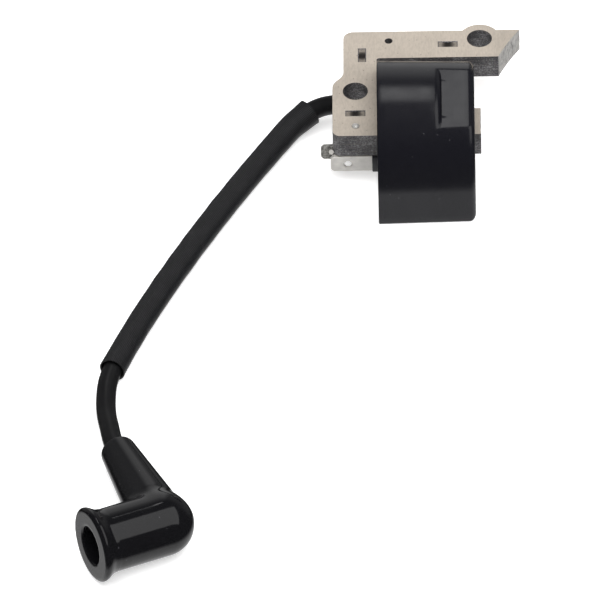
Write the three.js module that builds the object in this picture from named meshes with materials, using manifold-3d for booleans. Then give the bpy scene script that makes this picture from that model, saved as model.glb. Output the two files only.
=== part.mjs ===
// Ignition coil of a small two-stroke engine: a laminated C core, a potted coil housing
// on one leg of it, a stop-switch tab, an earth strap, and a high-tension lead with its
// woven sleeve and rubber plug boot.
//
// Millimetres. The housing's flat underside lies on z = 0 and the core is level.
// +X points at the flywheel, +Y is the core's outer arm, and the origin is under the
// middle of the coil and core.
import * as THREE from 'three';
import { mergeVertices } from 'three/addons/utils/BufferGeometryUtils.js';
import Module from 'manifold-3d';

const wasm = await Module();
wasm.setup();

// ---------------------------------------------------------------- driving dimensions

// Core: stamped sheets, seen from above as a C that opens towards the flywheel.
const SHEETS = 14;
const SHEET = 0.5;
const STACK = SHEETS * SHEET;
const CORE_Z = 9.8; // underside of the stack
const LEG = { front: -12.75, back: -3.05 }; // the leg that the coil sits on
const ARM = { front: 16.1, back: 26.15 }; // the outer arm
const BACK = { inner: -11.2, lower: -22.6, upper: -19.75 }; // the back of the C
const FLYWHEEL = { x: 75.6, y: -7.9, r: 60.4 }; // both pole faces lie on this circle
const HOLE_R = 3.2; // M6 clearance
const HOLES = [[-16.7, 3.9], [15.33, 22.95]];
const EAR_R = 5.35; // metal round the hole in the arm
const PIN_HOLE_R = 1.05;
const PIN_HOLES = [[-16.7, -9.08], [-8.06, 22.55]]; // the earth rivet's, and a locating hole
const DIMPLE = { long: 4.7, wide: 1.7, deep: 0.42 }; // V-shaped interlocks
const DIMPLES = [[-16.7, -4.35, 0], [7.15, 21.05, 0], [-14.93, 17.35, 90]]; // x, y, turn

// Coil housing: a cup with an arched roof, its mouth against the back of the core.
const LEG_Y = (LEG.front + LEG.back) / 2;
const LEG_Z = CORE_Z + STACK / 2;
const LEG_HALF = { y: (LEG.back - LEG.front) / 2, z: STACK / 2 };
const HOUSING = { mouth: -11.1, end: 13.8, r: 20.4, archZ: 10.45, wall: 1.2, endWall: 1.6 };
const EDGE_R = 1.5; // rounding of the closed end
const DRAFT = 0.022; // how much the cup narrows towards its closed end, per unit
const RECESS = { x: 5.45, deep: 2.75, tilt: 10.2 }; // a flat in the roof at the closed end

// Windings, from the leg outwards. Half sizes across the leg, in y and z.
const FIT = 0.3; // running gap between one piece and the next
const SKIN = 0.8; // bobbin wall
const COIL = { start: -6.4, end: 11.8 };
const PRIMARY = { y: 7.9, z: 6.55 };
const SECONDARY = { y: 11, z: 10.7, sections: 4 };
const RESIN = { face: -10.5, back: -8, gap: 0.1 };

// Stop-switch tab and earth strap, both under the core.
const TAB = { left: -22.96, right: -7.6, front: -12.65, thick: 0.8, low: 4.6, high: 9.2 };
const TAB_HOLE = { x: -18.8, z: 6.6, r: 0.95 };
const STRAP = { left: -22.2, front: -11.3, back: -6.9, thick: 0.5, drop: 2 };
const BARREL = { left: -25.7, right: -22.3, y: -8.8, z: 7.7, r: 1.9, teeth: 16 };

// High-tension lead, from inside the resin to the plug contact, and its woven sleeve.
const LEAD_R = 2.5;
const LEAD_EXIT = [RESIN.face, 8, 7];
const LEAD_ROOT = -5.2;
const SLEEVE = { outer: 3.25, inner: 2.9, from: 0.128, to: 0.693 }; // shares of the lead

// Plug boot: an elbow, with its barrel along its own +X and its neck near its own -Y.
const ELBOW = { x: -65.4, y: -142.5, z: 8.25 };
const BOOT_TURN = { heading: 206, rise: 4.4, roll: 6.2 }; // degrees
const BOOT = { r: 8.1, length: 19.6, flangeR: 9.6, mouthR: 4.9, mouthDeep: 13, coreR: 4.2 };
const NECK = { angle: -95.5, length: 32.3, rootR: 6.6, endR: 4.5, boreR: 2.85 };
const LEAD_STOP = 5.5; // the lead ends this far short of the elbow's centre

// ---------------------------------------------------------------- materials

function finish(color, roughness, metalness) {
  return new THREE.MeshStandardMaterial({ color, roughness, metalness });
}

const LACQUERED_STEEL = finish(0xc9bdaf, 0.55, 0.3);
const TINNED = finish(0xc4c1ba, 0.3, 0.9);
const ZINC = finish(0x8a8985, 0.45, 0.8);
const BLACK_PLASTIC = finish(0x1b1b1c, 0.3, 0);
const BLACK_RESIN = finish(0x141415, 0.25, 0);
const NATURAL_NYLON = finish(0xd9d2bf, 0.5, 0);
const COPPER = finish(0xa5562c, 0.35, 0.9);
const GREEN_BOARD = finish(0x24563a, 0.5, 0);
const EPOXY = finish(0x222222, 0.6, 0);
const CERAMIC = finish(0xb08d5e, 0.5, 0);
const LEAD_JACKET = finish(0x1f1f20, 0.4, 0);
const GLASS_WEAVE = finish(0x232324, 0.8, 0);
const RUBBER = finish(0x161617, 0.35, 0);
const SPRING_STEEL = finish(0xa8a8a6, 0.35, 0.9);

// ---------------------------------------------------------------- helpers

function toSolid(geometry) {
  const bare = geometry.index ? geometry.toNonIndexed() : geometry.clone();
  bare.deleteAttribute('normal');
  bare.deleteAttribute('uv');
  const merged = mergeVertices(bare, 1e-4);
  return new wasm.Manifold(new wasm.Mesh({
    numProp: 3,
    vertProperties: Float32Array.from(merged.attributes.position.array),
    triVerts: Uint32Array.from(merged.index.array),
  }));
}

function toGeometry(body) {
  const mesh = body.getMesh();
  const geometry = new THREE.BufferGeometry();
  geometry.setAttribute('position', new THREE.BufferAttribute(mesh.vertProperties, 3));
  geometry.setIndex(new THREE.BufferAttribute(mesh.triVerts, 1));
  geometry.computeVertexNormals();
  return geometry;
}

function joined(...geometries) {
  return geometries.map(toSolid).reduce((body, more) => body.add(more));
}

function cut(body, ...geometries) {
  return geometries.map(toSolid).reduce((rest, tool) => rest.subtract(tool), body);
}

const root = new THREE.Group();

function add(name, shape, material, parent = root) {
  const geometry = shape.isBufferGeometry ? shape : toGeometry(shape);
  const mesh = new THREE.Mesh(geometry, material);
  mesh.name = name;
  parent.add(mesh);
  return mesh;
}

function box(x0, x1, y0, y1, z0, z1) {
  const geometry = new THREE.BoxGeometry(x1 - x0, y1 - y0, z1 - z0);
  return geometry.translate((x0 + x1) / 2, (y0 + y1) / 2, (z0 + z1) / 2);
}

const AXES = {
  x: [new THREE.Vector3(0, 1, 0), new THREE.Vector3(0, 0, 1), new THREE.Vector3(1, 0, 0)],
  y: [new THREE.Vector3(0, 0, 1), new THREE.Vector3(1, 0, 0), new THREE.Vector3(0, 1, 0)],
  z: [new THREE.Vector3(1, 0, 0), new THREE.Vector3(0, 1, 0), new THREE.Vector3(0, 0, 1)],
};

// A flat shape pushed along an axis. The shape's own axes are (y, z), (z, x) or (x, y).
function extruded(shape, axis, from, to, options = {}) {
  const geometry = new THREE.ExtrudeGeometry(shape, {
    depth: to - from, bevelEnabled: false, ...options,
  });
  geometry.translate(0, 0, from);
  return geometry.applyMatrix4(new THREE.Matrix4().makeBasis(...AXES[axis]));
}

// Points along an arc, both ends included.
function arc(x, y, r, from, to, steps) {
  return Array.from({ length: steps + 1 }, (_, i) => {
    const angle = from + ((to - from) * i) / steps;
    return new THREE.Vector2(x + r * Math.cos(angle), y + r * Math.sin(angle));
  });
}

function circle(x, y, r, sides) {
  return arc(x, y, r, 0, 2 * Math.PI * (1 - 1 / sides), sides - 1);
}

function rod(axis, r, from, to, at, sides = 16) {
  return extruded(new THREE.Shape(circle(...at, r, sides)), axis, from, to);
}

function circleHole(x, y, r, sides) {
  return new THREE.Path(circle(x, y, r, sides));
}

// A closed outline through corners [x, y, radius], with `steps` sides to each round.
function roundedShape(corners, steps = 3) {
  const points = corners.flatMap(([x, y, r = 0], i) => {
    const corner = new THREE.Vector2(x, y);
    if (r === 0) return [corner];
    const back = new THREE.Vector2(...corners.at(i - 1)).sub(corner).normalize();
    const on = new THREE.Vector2(...corners[(i + 1) % corners.length]).sub(corner).normalize();
    const half = Math.acos(back.dot(on)) / 2;
    const middle = corner.clone();
    middle.addScaledVector(back.clone().add(on).normalize(), r / Math.sin(half));
    const start = corner.clone().addScaledVector(back, r / Math.tan(half)).sub(middle).angle();
    const swing = (Math.PI - 2 * half) * Math.sign(on.cross(back));
    return arc(middle.x, middle.y, r, start, start + swing, steps);
  });
  return new THREE.Shape(points);
}

function roundedRect(cx, cy, halfX, halfY, r) {
  const signs = [[-1, -1], [1, -1], [1, 1], [-1, 1]];
  return roundedShape(signs.map(([sx, sy]) => [cx + sx * halfX, cy + sy * halfY, r]), 2);
}

// A rectangular ring round the leg, between two places along x.
function ring(from, to, inner, outer, innerR, outerR) {
  const shape = roundedRect(LEG_Y, LEG_Z, outer.y, outer.z, outerR);
  shape.holes.push(roundedRect(LEG_Y, LEG_Z, inner.y, inner.z, innerR));
  return extruded(shape, 'x', from, to);
}

function grown(half, by) {
  return { y: half.y + by, z: half.z + by };
}

function tube(path, r, steps, sides, holeR = 0) {
  const section = new THREE.Shape(circle(0, 0, r, sides));
  if (holeR > 0) section.holes.push(circleHole(0, 0, holeR, sides));
  return new THREE.ExtrudeGeometry(section, { extrudePath: path, steps });
}

function wire(points, r) {
  const corners = points.map((p) => new THREE.Vector3(...p));
  return tube(new THREE.CatmullRomCurve3(corners, false, 'centripetal'), r, 12, 6);
}

// ---------------------------------------------------------------- core

function poleX(y) {
  return FLYWHEEL.x - Math.sqrt(FLYWHEEL.r ** 2 - (y - FLYWHEEL.y) ** 2);
}

// Corners down a pole face, from one y to another, on the flywheel's circle.
function poleFace(fromY, toY, steps) {
  return Array.from({ length: steps + 1 }, (_, i) => {
    const y = fromY + ((toY - fromY) * i) / steps;
    return [poleX(y), y];
  });
}

// The ear round the arm's hole: the part of its circle that stands behind the arm.
function ear(steps) {
  const [x, y] = HOLES[1];
  const start = Math.asin((ARM.back - y) / EAR_R);
  return arc(x, y, EAR_R, start, Math.PI - start, steps).map((point) => point.toArray());
}

function sheetShape() {
  const shape = roundedShape([
    [BACK.lower, LEG.front, 2],
    ...poleFace(LEG.front, LEG.back, 2),
    [BACK.inner, LEG.back, 0.6],
    [BACK.inner, ARM.front, 0.6],
    ...poleFace(ARM.front, ARM.back, 3),
    ...ear(6),
    [BACK.upper, ARM.back, 2.5],
    [BACK.upper, 9.9, 3.4],
    [BACK.lower, 6.6, 3.4],
  ]);
  HOLES.forEach(([x, y]) => shape.holes.push(circleHole(x, y, HOLE_R, 16)));
  PIN_HOLES.forEach(([x, y]) => shape.holes.push(circleHole(x, y, PIN_HOLE_R, 8)));
  return shape;
}

// The interlock's V: as wide as the dimple at `top`, and `deep` below it at its keel.
function dimpleWedge([x, y, turn], top, shrink) {
  const half = DIMPLE.long / 2 - shrink;
  const wedge = new THREE.Shape();
  wedge.moveTo(-half, 0);
  wedge.lineTo(0, -DIMPLE.deep + shrink);
  wedge.lineTo(half, 0);
  const side = DIMPLE.wide / 2 - shrink;
  const geometry = new THREE.ExtrudeGeometry(wedge, { depth: 2 * side, bevelEnabled: false });
  geometry.translate(0, 0, -side).rotateX(Math.PI / 2);
  geometry.rotateZ(THREE.MathUtils.degToRad(turn));
  return geometry.translate(x, y, top);
}

function dimpleSlot([x, y, turn], low, high) {
  const geometry = new THREE.BoxGeometry(DIMPLE.long, DIMPLE.wide, high - low);
  geometry.rotateZ(THREE.MathUtils.degToRad(turn));
  return geometry.translate(x, y, (low + high) / 2);
}

function addCore() {
  const shape = sheetShape();
  for (let i = 0; i < SHEETS; i += 1) {
    const low = CORE_Z + i * SHEET;
    const high = low + SHEET;
    let sheet = toSolid(extruded(shape, 'z', low, high));
    if (i === 0) {
      // The lowest sheet is pierced right through, so the stack stays flat below.
      sheet = cut(sheet, ...DIMPLES.map((place) => dimpleSlot(place, low - 1, high + 1)));
    } else {
      sheet = cut(sheet, ...DIMPLES.map((place) => dimpleWedge(place, high, 0)));
      const keels = DIMPLES.map((place) => toSolid(dimpleWedge(place, low, 0.08)));
      sheet = keels.reduce((body, keel) => body.add(keel), sheet);
    }
    add(`core_lamination_${String(i + 1).padStart(2, '0')}`, sheet, LACQUERED_STEEL);
  }
}

// ---------------------------------------------------------------- housing and resin

function archShape(r, low) {
  const feet = [[-r, low], [r, low]].map(([y, z]) => new THREE.Vector2(LEG_Y + y, z));
  return new THREE.Shape([...feet, ...arc(LEG_Y, HOUSING.archZ, r, 0, Math.PI, 36)]);
}

// Narrows a body towards +X about the arch's centre line; its flat underside stays flat.
function drafted(geometry) {
  const places = geometry.attributes.position;
  for (let i = 0; i < places.count; i += 1) {
    const scale = 1 - (DRAFT * (places.getX(i) - HOUSING.mouth)) / HOUSING.r;
    const z = places.getZ(i);
    places.setY(i, LEG_Y + (places.getY(i) - LEG_Y) * scale);
    if (z > HOUSING.archZ) places.setZ(i, HOUSING.archZ + (z - HOUSING.archZ) * scale);
  }
  return geometry;
}

// What the roof's flat removes, beyond a plane `depth` below the arch's top, past x.
function recessBlock(x, depth) {
  const size = 60;
  const block = new THREE.BoxGeometry(size, size, size);
  block.translate(x + size / 2, 0, HOUSING.r - depth + size / 2);
  block.rotateX(THREE.MathUtils.degToRad(RECESS.tilt));
  return block.translate(0, LEG_Y, HOUSING.archZ);
}

// The space inside the cup, or a body that fills it with a gap all round.
function cavity(from, to, gap) {
  const inset = HOUSING.wall + gap;
  const shape = archShape(HOUSING.r - inset, inset);
  const body = toSolid(drafted(extruded(shape, 'x', from, to)));
  return cut(body, recessBlock(RECESS.x - inset, RECESS.deep + inset));
}

function legWindow(gap) {
  const half = grown(LEG_HALF, gap);
  const shape = roundedRect(LEG_Y, LEG_Z, half.y, half.z, 0.3);
  return extruded(shape, 'x', -20, 20);
}

function addHousing() {
  const outline = archShape(HOUSING.r - EDGE_R, EDGE_R);
  const long = extruded(outline, 'x', HOUSING.mouth - 5, HOUSING.end - EDGE_R, {
    bevelEnabled: true, bevelSize: EDGE_R, bevelThickness: EDGE_R, bevelSegments: 3,
  });
  let cup = cut(toSolid(drafted(long)), box(-40, HOUSING.mouth, -40, 40, -5, 40));
  cup = cut(cup, recessBlock(RECESS.x, RECESS.deep), legWindow(FIT + SKIN / 2));
  cup = cup.subtract(cavity(HOUSING.mouth - 1, HOUSING.end - HOUSING.endWall, 0));
  add('coil_housing', cup, BLACK_PLASTIC);
}

function addResin() {
  const boardY = -24.8;
  const coilFront = LEG_Y - SECONDARY.y - SKIN - FIT;
  const coilBack = LEG_Y + SECONDARY.y + SKIN + FIT;
  const roof = LEG_Z + SECONDARY.z + SKIN + FIT;
  const end = HOUSING.end - HOUSING.endWall - RESIN.gap;
  const tube0 = grown(LEG_HALF, 2 * FIT + SKIN);
  const channel = roundedRect(LEG_Y, LEG_Z, tube0.y, tube0.z, 0.6);
  const [, leadY, leadZ] = LEAD_EXIT;
  const filled = cut(
    cavity(RESIN.face, end, RESIN.gap),
    box(RESIN.back, end + 1, coilFront, coilBack, -1, roof),
    box(RESIN.back, end + 1, boardY, coilFront + 0.1, -1, 19.6),
    box(RESIN.back, end + 1, coilBack - 0.1, leadY + 2.6, leadZ - 3, leadZ + 3),
    extruded(channel, 'x', -20, 0),
    rod('x', LEAD_R + FIT, -20, 0, [leadY, leadZ]),
    box(-20, 0, STRAP.front - FIT, STRAP.back + FIT, 6.95, 8.15),
    box(-20, 0, TAB.front - FIT, TAB.front + TAB.thick + FIT, TAB.low - FIT, TAB.high - 0.9),
  );
  add('potting_resin', filled, BLACK_RESIN);
}

// ---------------------------------------------------------------- windings

function addBobbin(name, inner, flangeHalf, flanges, tubeFrom, corner) {
  const outer = grown(inner, SKIN);
  const rings = [ring(tubeFrom, COIL.end, inner, outer, corner, corner + SKIN)];
  const pitch = (COIL.end - COIL.start - SKIN) / (flanges - 1);
  for (let i = 0; i < flanges; i += 1) {
    const x = COIL.start + i * pitch;
    rings.push(ring(x, x + SKIN, grown(inner, SKIN / 2), flangeHalf, corner, corner + 1));
  }
  add(name, joined(...rings), NATURAL_NYLON);
  return pitch;
}

function addWindings() {
  const gap = FIT / 2;
  const bore = grown(LEG_HALF, FIT);
  const primaryFlange = grown(PRIMARY, FIT);
  addBobbin('primary_bobbin', bore, primaryFlange, 2, RESIN.face + 0.1, 0.3);
  const primaryInner = grown(bore, SKIN + gap);
  add('primary_winding', ring(
    COIL.start + SKIN + gap, COIL.end - SKIN - gap, primaryInner, PRIMARY, 1, 2.4,
  ), COPPER);

  const secondaryBore = grown(primaryFlange, FIT);
  const flange = grown(SECONDARY, 0.6);
  const flanges = SECONDARY.sections + 1;
  const pitch = addBobbin('secondary_bobbin', secondaryBore, flange, flanges, COIL.start, 1.6);
  const secondaryInner = grown(secondaryBore, SKIN + gap);
  for (let i = 0; i < SECONDARY.sections; i += 1) {
    const from = COIL.start + SKIN + gap + i * pitch;
    const to = COIL.start + (i + 1) * pitch - gap;
    const winding = ring(from, to, secondaryInner, SECONDARY, 2.6, 4);
    add(`secondary_winding_${i + 1}`, winding, COPPER);
  }
}

// ---------------------------------------------------------------- circuit board

const BOARD = { left: -7.6, right: 10.6, low: 3, high: 18.2, y: -24.4, thick: 1.2 };

// A surface-mount piece standing off the board: its body, joined to its flat feet.
function boardPiece(x, z, long, tall, proud, feet) {
  const y = BOARD.y + BOARD.thick + 0.1;
  const blocks = feet.map(([fx, fz, w, h]) => (
    box(x + fx - w / 2, x + fx + w / 2, y, y + 0.4, z + fz - h / 2, z + fz + h / 2)
  ));
  const body = box(x - long / 2, x + long / 2, y + 0.2, y + proud, z - tall / 2, z + tall / 2);
  return joined(body, ...blocks);
}

function addElectronics() {
  add('circuit_board', box(
    BOARD.left, BOARD.right, BOARD.y, BOARD.y + BOARD.thick, BOARD.low, BOARD.high,
  ), GREEN_BOARD);
  const ends = (long, tall) => [-1, 1].map((side) => [side * long / 2, 0, 0.8, tall - 0.4]);
  const threeFeet = [[-0.95, -1, 0.4, 0.9], [0.95, -1, 0.4, 0.9], [0, 1, 0.4, 0.9]];
  const powerFeet = [[-2.3, -4, 0.8, 2.4], [2.3, -4, 0.8, 2.4], [0, 3.6, 5.2, 1.6]];
  add('power_transistor', boardPiece(6, 9.2, 6.5, 6, 2.4, powerFeet), EPOXY);
  add('driver_transistor', boardPiece(-1.2, 13.6, 2.9, 1.4, 1.1, threeFeet), EPOXY);
  add('timing_capacitor', boardPiece(-1.4, 8.6, 4.5, 3.2, 1.8, ends(4.5, 3.2)), CERAMIC);
  add('timing_resistor_1', boardPiece(-5, 13.2, 3.2, 1.6, 0.7, ends(3.2, 1.6)), EPOXY);
  add('timing_resistor_2', boardPiece(-5, 16.2, 3.2, 1.6, 0.7, ends(3.2, 1.6)), EPOXY);
  add('clamp_diode', boardPiece(3.2, 16.2, 4.4, 2.6, 2.1, ends(4.4, 1.5)), EPOXY);

  const wireX = COIL.start - 0.8;
  const boardFace = BOARD.y + BOARD.thick + 0.5;
  const earthZ = CORE_Z - STRAP.drop - STRAP.thick / 2;
  add('earth_lead_wire', rod('y', 0.3, boardFace, -8, [earthZ, wireX], 8), TINNED);
  add('stop_lead_wire', rod('y', 0.3, boardFace, -11.9, [5.4, wireX], 8), TINNED);
}

// ---------------------------------------------------------------- terminals

function addStopTab() {
  const tab = roundedShape([
    [TAB.low, TAB.left, 0.9],
    [TAB.low, -11],
    [TAB.low + 0.6, -10.6],
    [TAB.low + 0.6, TAB.right],
    [TAB.high - 1.5, TAB.right],
    [TAB.high - 1.5, -10.6],
    [TAB.high, -11],
    [TAB.high, TAB.left, 0.9],
  ].reverse());
  tab.holes.push(circleHole(TAB_HOLE.z, TAB_HOLE.x, TAB_HOLE.r, 12));
  const back = TAB.front + TAB.thick;
  add('stop_tab', toSolid(extruded(tab, 'y', TAB.front, back)), TINNED);

  const collar = box(
    -12.6, RESIN.face - 0.1, TAB.front - 0.5, back + 0.4, TAB.low - 0.35, TAB.high + 0.35,
  );
  const slot = box(-13, -10, TAB.front - 0.1, back + 0.1, TAB.low - 0.1, TAB.high + 0.1);
  add('stop_tab_collar', cut(toSolid(collar), slot), BLACK_PLASTIC);
}

function addEarth() {
  const [rivetX, rivetY] = PIN_HOLES[0];
  const top = CORE_Z - 0.02;
  const low = top - STRAP.thick;
  const shape = new THREE.Shape();
  [
    [low, STRAP.left], [low, -13], [low - STRAP.drop, -11.6], [low - STRAP.drop, TAB.right],
    [top - STRAP.drop, TAB.right], [top - STRAP.drop, -11.4], [top, -12.8],
    [top, STRAP.left],
  ].reverse().forEach(([z, x], i) => shape[i === 0 ? 'moveTo' : 'lineTo'](z, x));
  const strap = toSolid(extruded(shape, 'y', STRAP.front, STRAP.back));
  const rivetHole = rod('z', PIN_HOLE_R, 0, 20, [rivetX, rivetY], 12);
  add('earth_strap', cut(strap, rivetHole), TINNED);

  const shank = [
    [0, -1.3], [1.7, -1.3], [1.9, -0.9], [1.9, -STRAP.thick - 0.05],
    [0.95, -STRAP.thick - 0.05], [0.95, STACK + 0.05], [0.6, STACK + 0.28], [0, STACK + 0.35],
  ];
  const rivet = new THREE.LatheGeometry(shank.map(([r, z]) => new THREE.Vector2(r, z)), 16);
  rivet.rotateX(Math.PI / 2).translate(rivetX, rivetY, CORE_Z);
  add('earth_rivet', toSolid(rivet), TINNED);

  // The strap's rolled end, serrated along its length, with a chamfer at its outer end.
  const rim = circle(BARREL.y, BARREL.z, BARREL.r, 2 * BARREL.teeth);
  const middle = new THREE.Vector2(BARREL.y, BARREL.z);
  const serrated = new THREE.Shape(rim.map((point, i) => point.lerp(middle, (i % 2) * 0.07)));
  serrated.holes.push(circleHole(BARREL.y, BARREL.z, 0.8, 10));
  add('crimp_barrel', toSolid(extruded(serrated, 'x', BARREL.left, BARREL.right)), ZINC);
  const { right, y, z } = BARREL;
  add('earth_wire', wire([
    [right + 0.5, y + 0.6, z], [right + 0.5, y - 0.5, z], [right + 0.4, y - 2.1, z + 0.3],
    [right - 0.3, y - 2.3, z + 1.3], [right - 0.9, y - 2.5, z + 2.3],
    [right - 0.7, y - 3.7, z + 3.3],
  ], 0.42), TINNED);
}

// ---------------------------------------------------------------- high-tension lead

// The plug boot's own axes, placed with its elbow where the lead brings it.
const bootGroup = new THREE.Group();
bootGroup.position.set(ELBOW.x, ELBOW.y, ELBOW.z);
bootGroup.rotation.set(
  THREE.MathUtils.degToRad(BOOT_TURN.roll),
  THREE.MathUtils.degToRad(-BOOT_TURN.rise),
  THREE.MathUtils.degToRad(BOOT_TURN.heading),
  'ZYX',
);
bootGroup.updateMatrixWorld(true);
root.add(bootGroup);

// A point on the neck's axis, that far from the elbow's centre.
function onNeck(distance) {
  const angle = THREE.MathUtils.degToRad(NECK.angle);
  const local = new THREE.Vector3(Math.cos(angle), Math.sin(angle), 0);
  return bootGroup.localToWorld(local.multiplyScalar(distance)).toArray();
}

// The lead's middle, from the housing to the boot. It drops to the table past the core,
// lies in its sleeve in one long lazy curve, and lifts again into the boot's neck.
const ROUTE = [
  [LEAD_ROOT, 8, 7], [-8, 8, 7], [-11, 8, 7], [-15, 8.6, 7], [-19, 9.2, 7],
  [-22.6, 9.5, 6.85], [-26.2, 9.3, 6], [-29.4, 8.1, 5], [-32.9, 5.5, 4], [-36.4, 0.4, 3.4],
  [-39.9, -5.3, 3.3], [-46.85, -17, 3.3], [-53.4, -28.8, 3.3], [-59.55, -40.4, 3.3],
  [-63.85, -49, 3.3], [-68.05, -57.7, 3.3], [-71.9, -66.3, 3.3], [-75.65, -74.9, 3.3],
  [-78.05, -81.4, 3.3], [-79.6, -87.2, 3], [-80, -92.6, 2.7], [-79.8, -98, 2.8],
  [-79, -103.4, 3.5],
];

function leadPath() {
  const boot = [NECK.length + 2.5, NECK.length - 4, NECK.length / 2, LEAD_STOP].map(onNeck);
  const points = [...ROUTE, ...boot].map((point) => new THREE.Vector3(...point));
  return new THREE.CatmullRomCurve3(points, false, 'centripetal');
}

// Part of a path, as a path of its own.
function stretchOf(path, from, to, count) {
  const points = Array.from({ length: count + 1 }, (_, i) => (
    path.getPointAt(from + ((to - from) * i) / count)
  ));
  return new THREE.CatmullRomCurve3(points, false, 'centripetal');
}

function addLead() {
  const path = leadPath();
  const jacket = toSolid(tube(path, LEAD_R, 56, 8));
  const pinBore = rod('x', 0.85, LEAD_ROOT - 4.5, LEAD_ROOT + 1, LEAD_EXIT.slice(1), 10);
  const clipBore = new THREE.CylinderGeometry(0.85, 0.85, 9, 10);
  clipBore.rotateZ(THREE.MathUtils.degToRad(NECK.angle - 90));
  clipBore.applyMatrix4(bootGroup.matrixWorld);
  clipBore.translate(...new THREE.Vector3(...onNeck(LEAD_STOP)).sub(bootGroup.position));
  add('ht_lead', cut(jacket, pinBore, clipBore), LEAD_JACKET);

  const covered = stretchOf(path, SLEEVE.from, SLEEVE.to, 24);
  add('lead_sleeve', tube(covered, SLEEVE.outer, 36, 10, SLEEVE.inner), GLASS_WEAVE);
}

function addContactPin() {
  const [, y, z] = LEAD_EXIT;
  const profile = [[0, -3.6], [0.5, -2.6], [0.5, 0.3], [2, 0.3], [2, 0.9], [0, 0.9]];
  const pin = new THREE.LatheGeometry(profile.map((p) => new THREE.Vector2(...p)), 12);
  pin.rotateZ(-Math.PI / 2).translate(LEAD_ROOT, y, z);
  add('ht_contact_pin', toSolid(pin), TINNED);
  const reach = COIL.end - 2.5;
  add('ht_wire', wire([
    [LEAD_ROOT + 1.3, y, z], [0, y, z], [reach - 2, y, z], [reach, y - 1.5, z],
    [reach, LEG_Y + SECONDARY.y + 0.4, z],
  ], 0.4), COPPER);
}

// ---------------------------------------------------------------- plug boot

function lathed(points, sides) {
  const profile = points.map(([r, along]) => new THREE.Vector2(r, along));
  return new THREE.LatheGeometry(profile, sides);
}

function addBoot() {
  const toBarrel = (geometry) => geometry.rotateZ(-Math.PI / 2);
  const toNeck = (geometry) => geometry.rotateZ(THREE.MathUtils.degToRad(NECK.angle - 90));
  const flange = BOOT.length - 2.6;
  const barrel = toBarrel(lathed([
    [0, 0], [BOOT.r, 0], [BOOT.r, flange - 3], [BOOT.flangeR - 0.3, flange],
    [BOOT.flangeR, flange + 0.8], [BOOT.flangeR, BOOT.length - 0.6],
    [BOOT.flangeR - 0.7, BOOT.length], [0, BOOT.length],
  ], 28));
  const elbow = new THREE.SphereGeometry(BOOT.r, 28, 18);
  const neck = toNeck(lathed([
    [0, 0], [NECK.rootR, 0], [NECK.rootR, BOOT.r], [NECK.endR, NECK.length - 0.6],
    [NECK.endR - 0.5, NECK.length], [0, NECK.length],
  ], 24));
  const mouth = toBarrel(lathed([
    [0, 0], [BOOT.coreR, 0], [BOOT.coreR, BOOT.length - BOOT.mouthDeep],
    [BOOT.mouthR, BOOT.length - BOOT.mouthDeep + 1], [BOOT.mouthR, BOOT.length + 1],
    [0, BOOT.length + 1],
  ], 24));
  const hollow = new THREE.SphereGeometry(BOOT.coreR, 20, 12);
  const neckBore = toNeck(lathed([
    [0, 0], [NECK.boreR, 0], [NECK.boreR, NECK.length + 1], [0, NECK.length + 1],
  ], 20));
  add('plug_boot', cut(joined(barrel, elbow, neck), mouth, hollow, neckBore), RUBBER, bootGroup);
}

// The contact: a coil spring that grips the plug's terminal, with its tail up the lead.
class ClipPath extends THREE.Curve {
  getPoint(t, target = new THREE.Vector3()) {
    const { turns, pitch, r, tail } = CLIP;
    const coil = Math.min(t / tail, 1);
    const angle = -Math.PI / 2 + 2 * Math.PI * turns * (coil - 1);
    const along = pitch * turns * (1 - coil);
    const rise = Math.max(0, (t - tail) / (1 - tail));
    const up = r + rise * (LEAD_STOP + CLIP.bite - r);
    if (rise > 0) return target.set(Math.cos(NECK_RAD) * up, Math.sin(NECK_RAD) * up, 0);
    return target.set(along, r * Math.sin(angle), r * Math.cos(angle));
  }
}

const CLIP = { turns: 4, pitch: 1.35, r: 3.2, wire: 0.4, tail: 0.85, bite: 3 };
const NECK_RAD = THREE.MathUtils.degToRad(NECK.angle);

function addClip() {
  add('plug_clip', tube(new ClipPath(), CLIP.wire, 70, 6), SPRING_STEEL, bootGroup);
}

addCore();
addHousing();
addResin();
addWindings();
addElectronics();
addStopTab();
addEarth();
addLead();
addContactPin();
addBoot();
addClip();

export default root;
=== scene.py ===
"""The looks of an ignition coil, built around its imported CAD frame.

Every piece is made in metres in the frame's own axes. Sizes are given in millimetres and
turned to metres by MM.
"""

import math
import random

import bmesh
import bpy
import numpy as np
from mathutils import Euler, Matrix, Vector
from mathutils.geometry import tessellate_polygon


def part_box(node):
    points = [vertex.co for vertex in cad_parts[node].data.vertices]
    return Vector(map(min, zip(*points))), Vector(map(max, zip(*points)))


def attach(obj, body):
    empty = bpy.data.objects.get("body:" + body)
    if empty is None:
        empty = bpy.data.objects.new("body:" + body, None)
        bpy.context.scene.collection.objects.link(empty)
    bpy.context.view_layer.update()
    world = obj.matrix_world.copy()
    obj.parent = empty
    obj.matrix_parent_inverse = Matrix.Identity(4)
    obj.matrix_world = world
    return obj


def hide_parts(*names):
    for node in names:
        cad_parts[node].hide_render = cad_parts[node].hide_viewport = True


bl_info = {
    "name": "Ignition Coil",
    "version": (1, 0, 0),
    "blender": (4, 5, 0),
    "location": "View3D > Sidebar > Coil",
    "description": "Builds the visible pieces of an ignition coil around its frame",
    "category": "Add Mesh",
}

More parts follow.
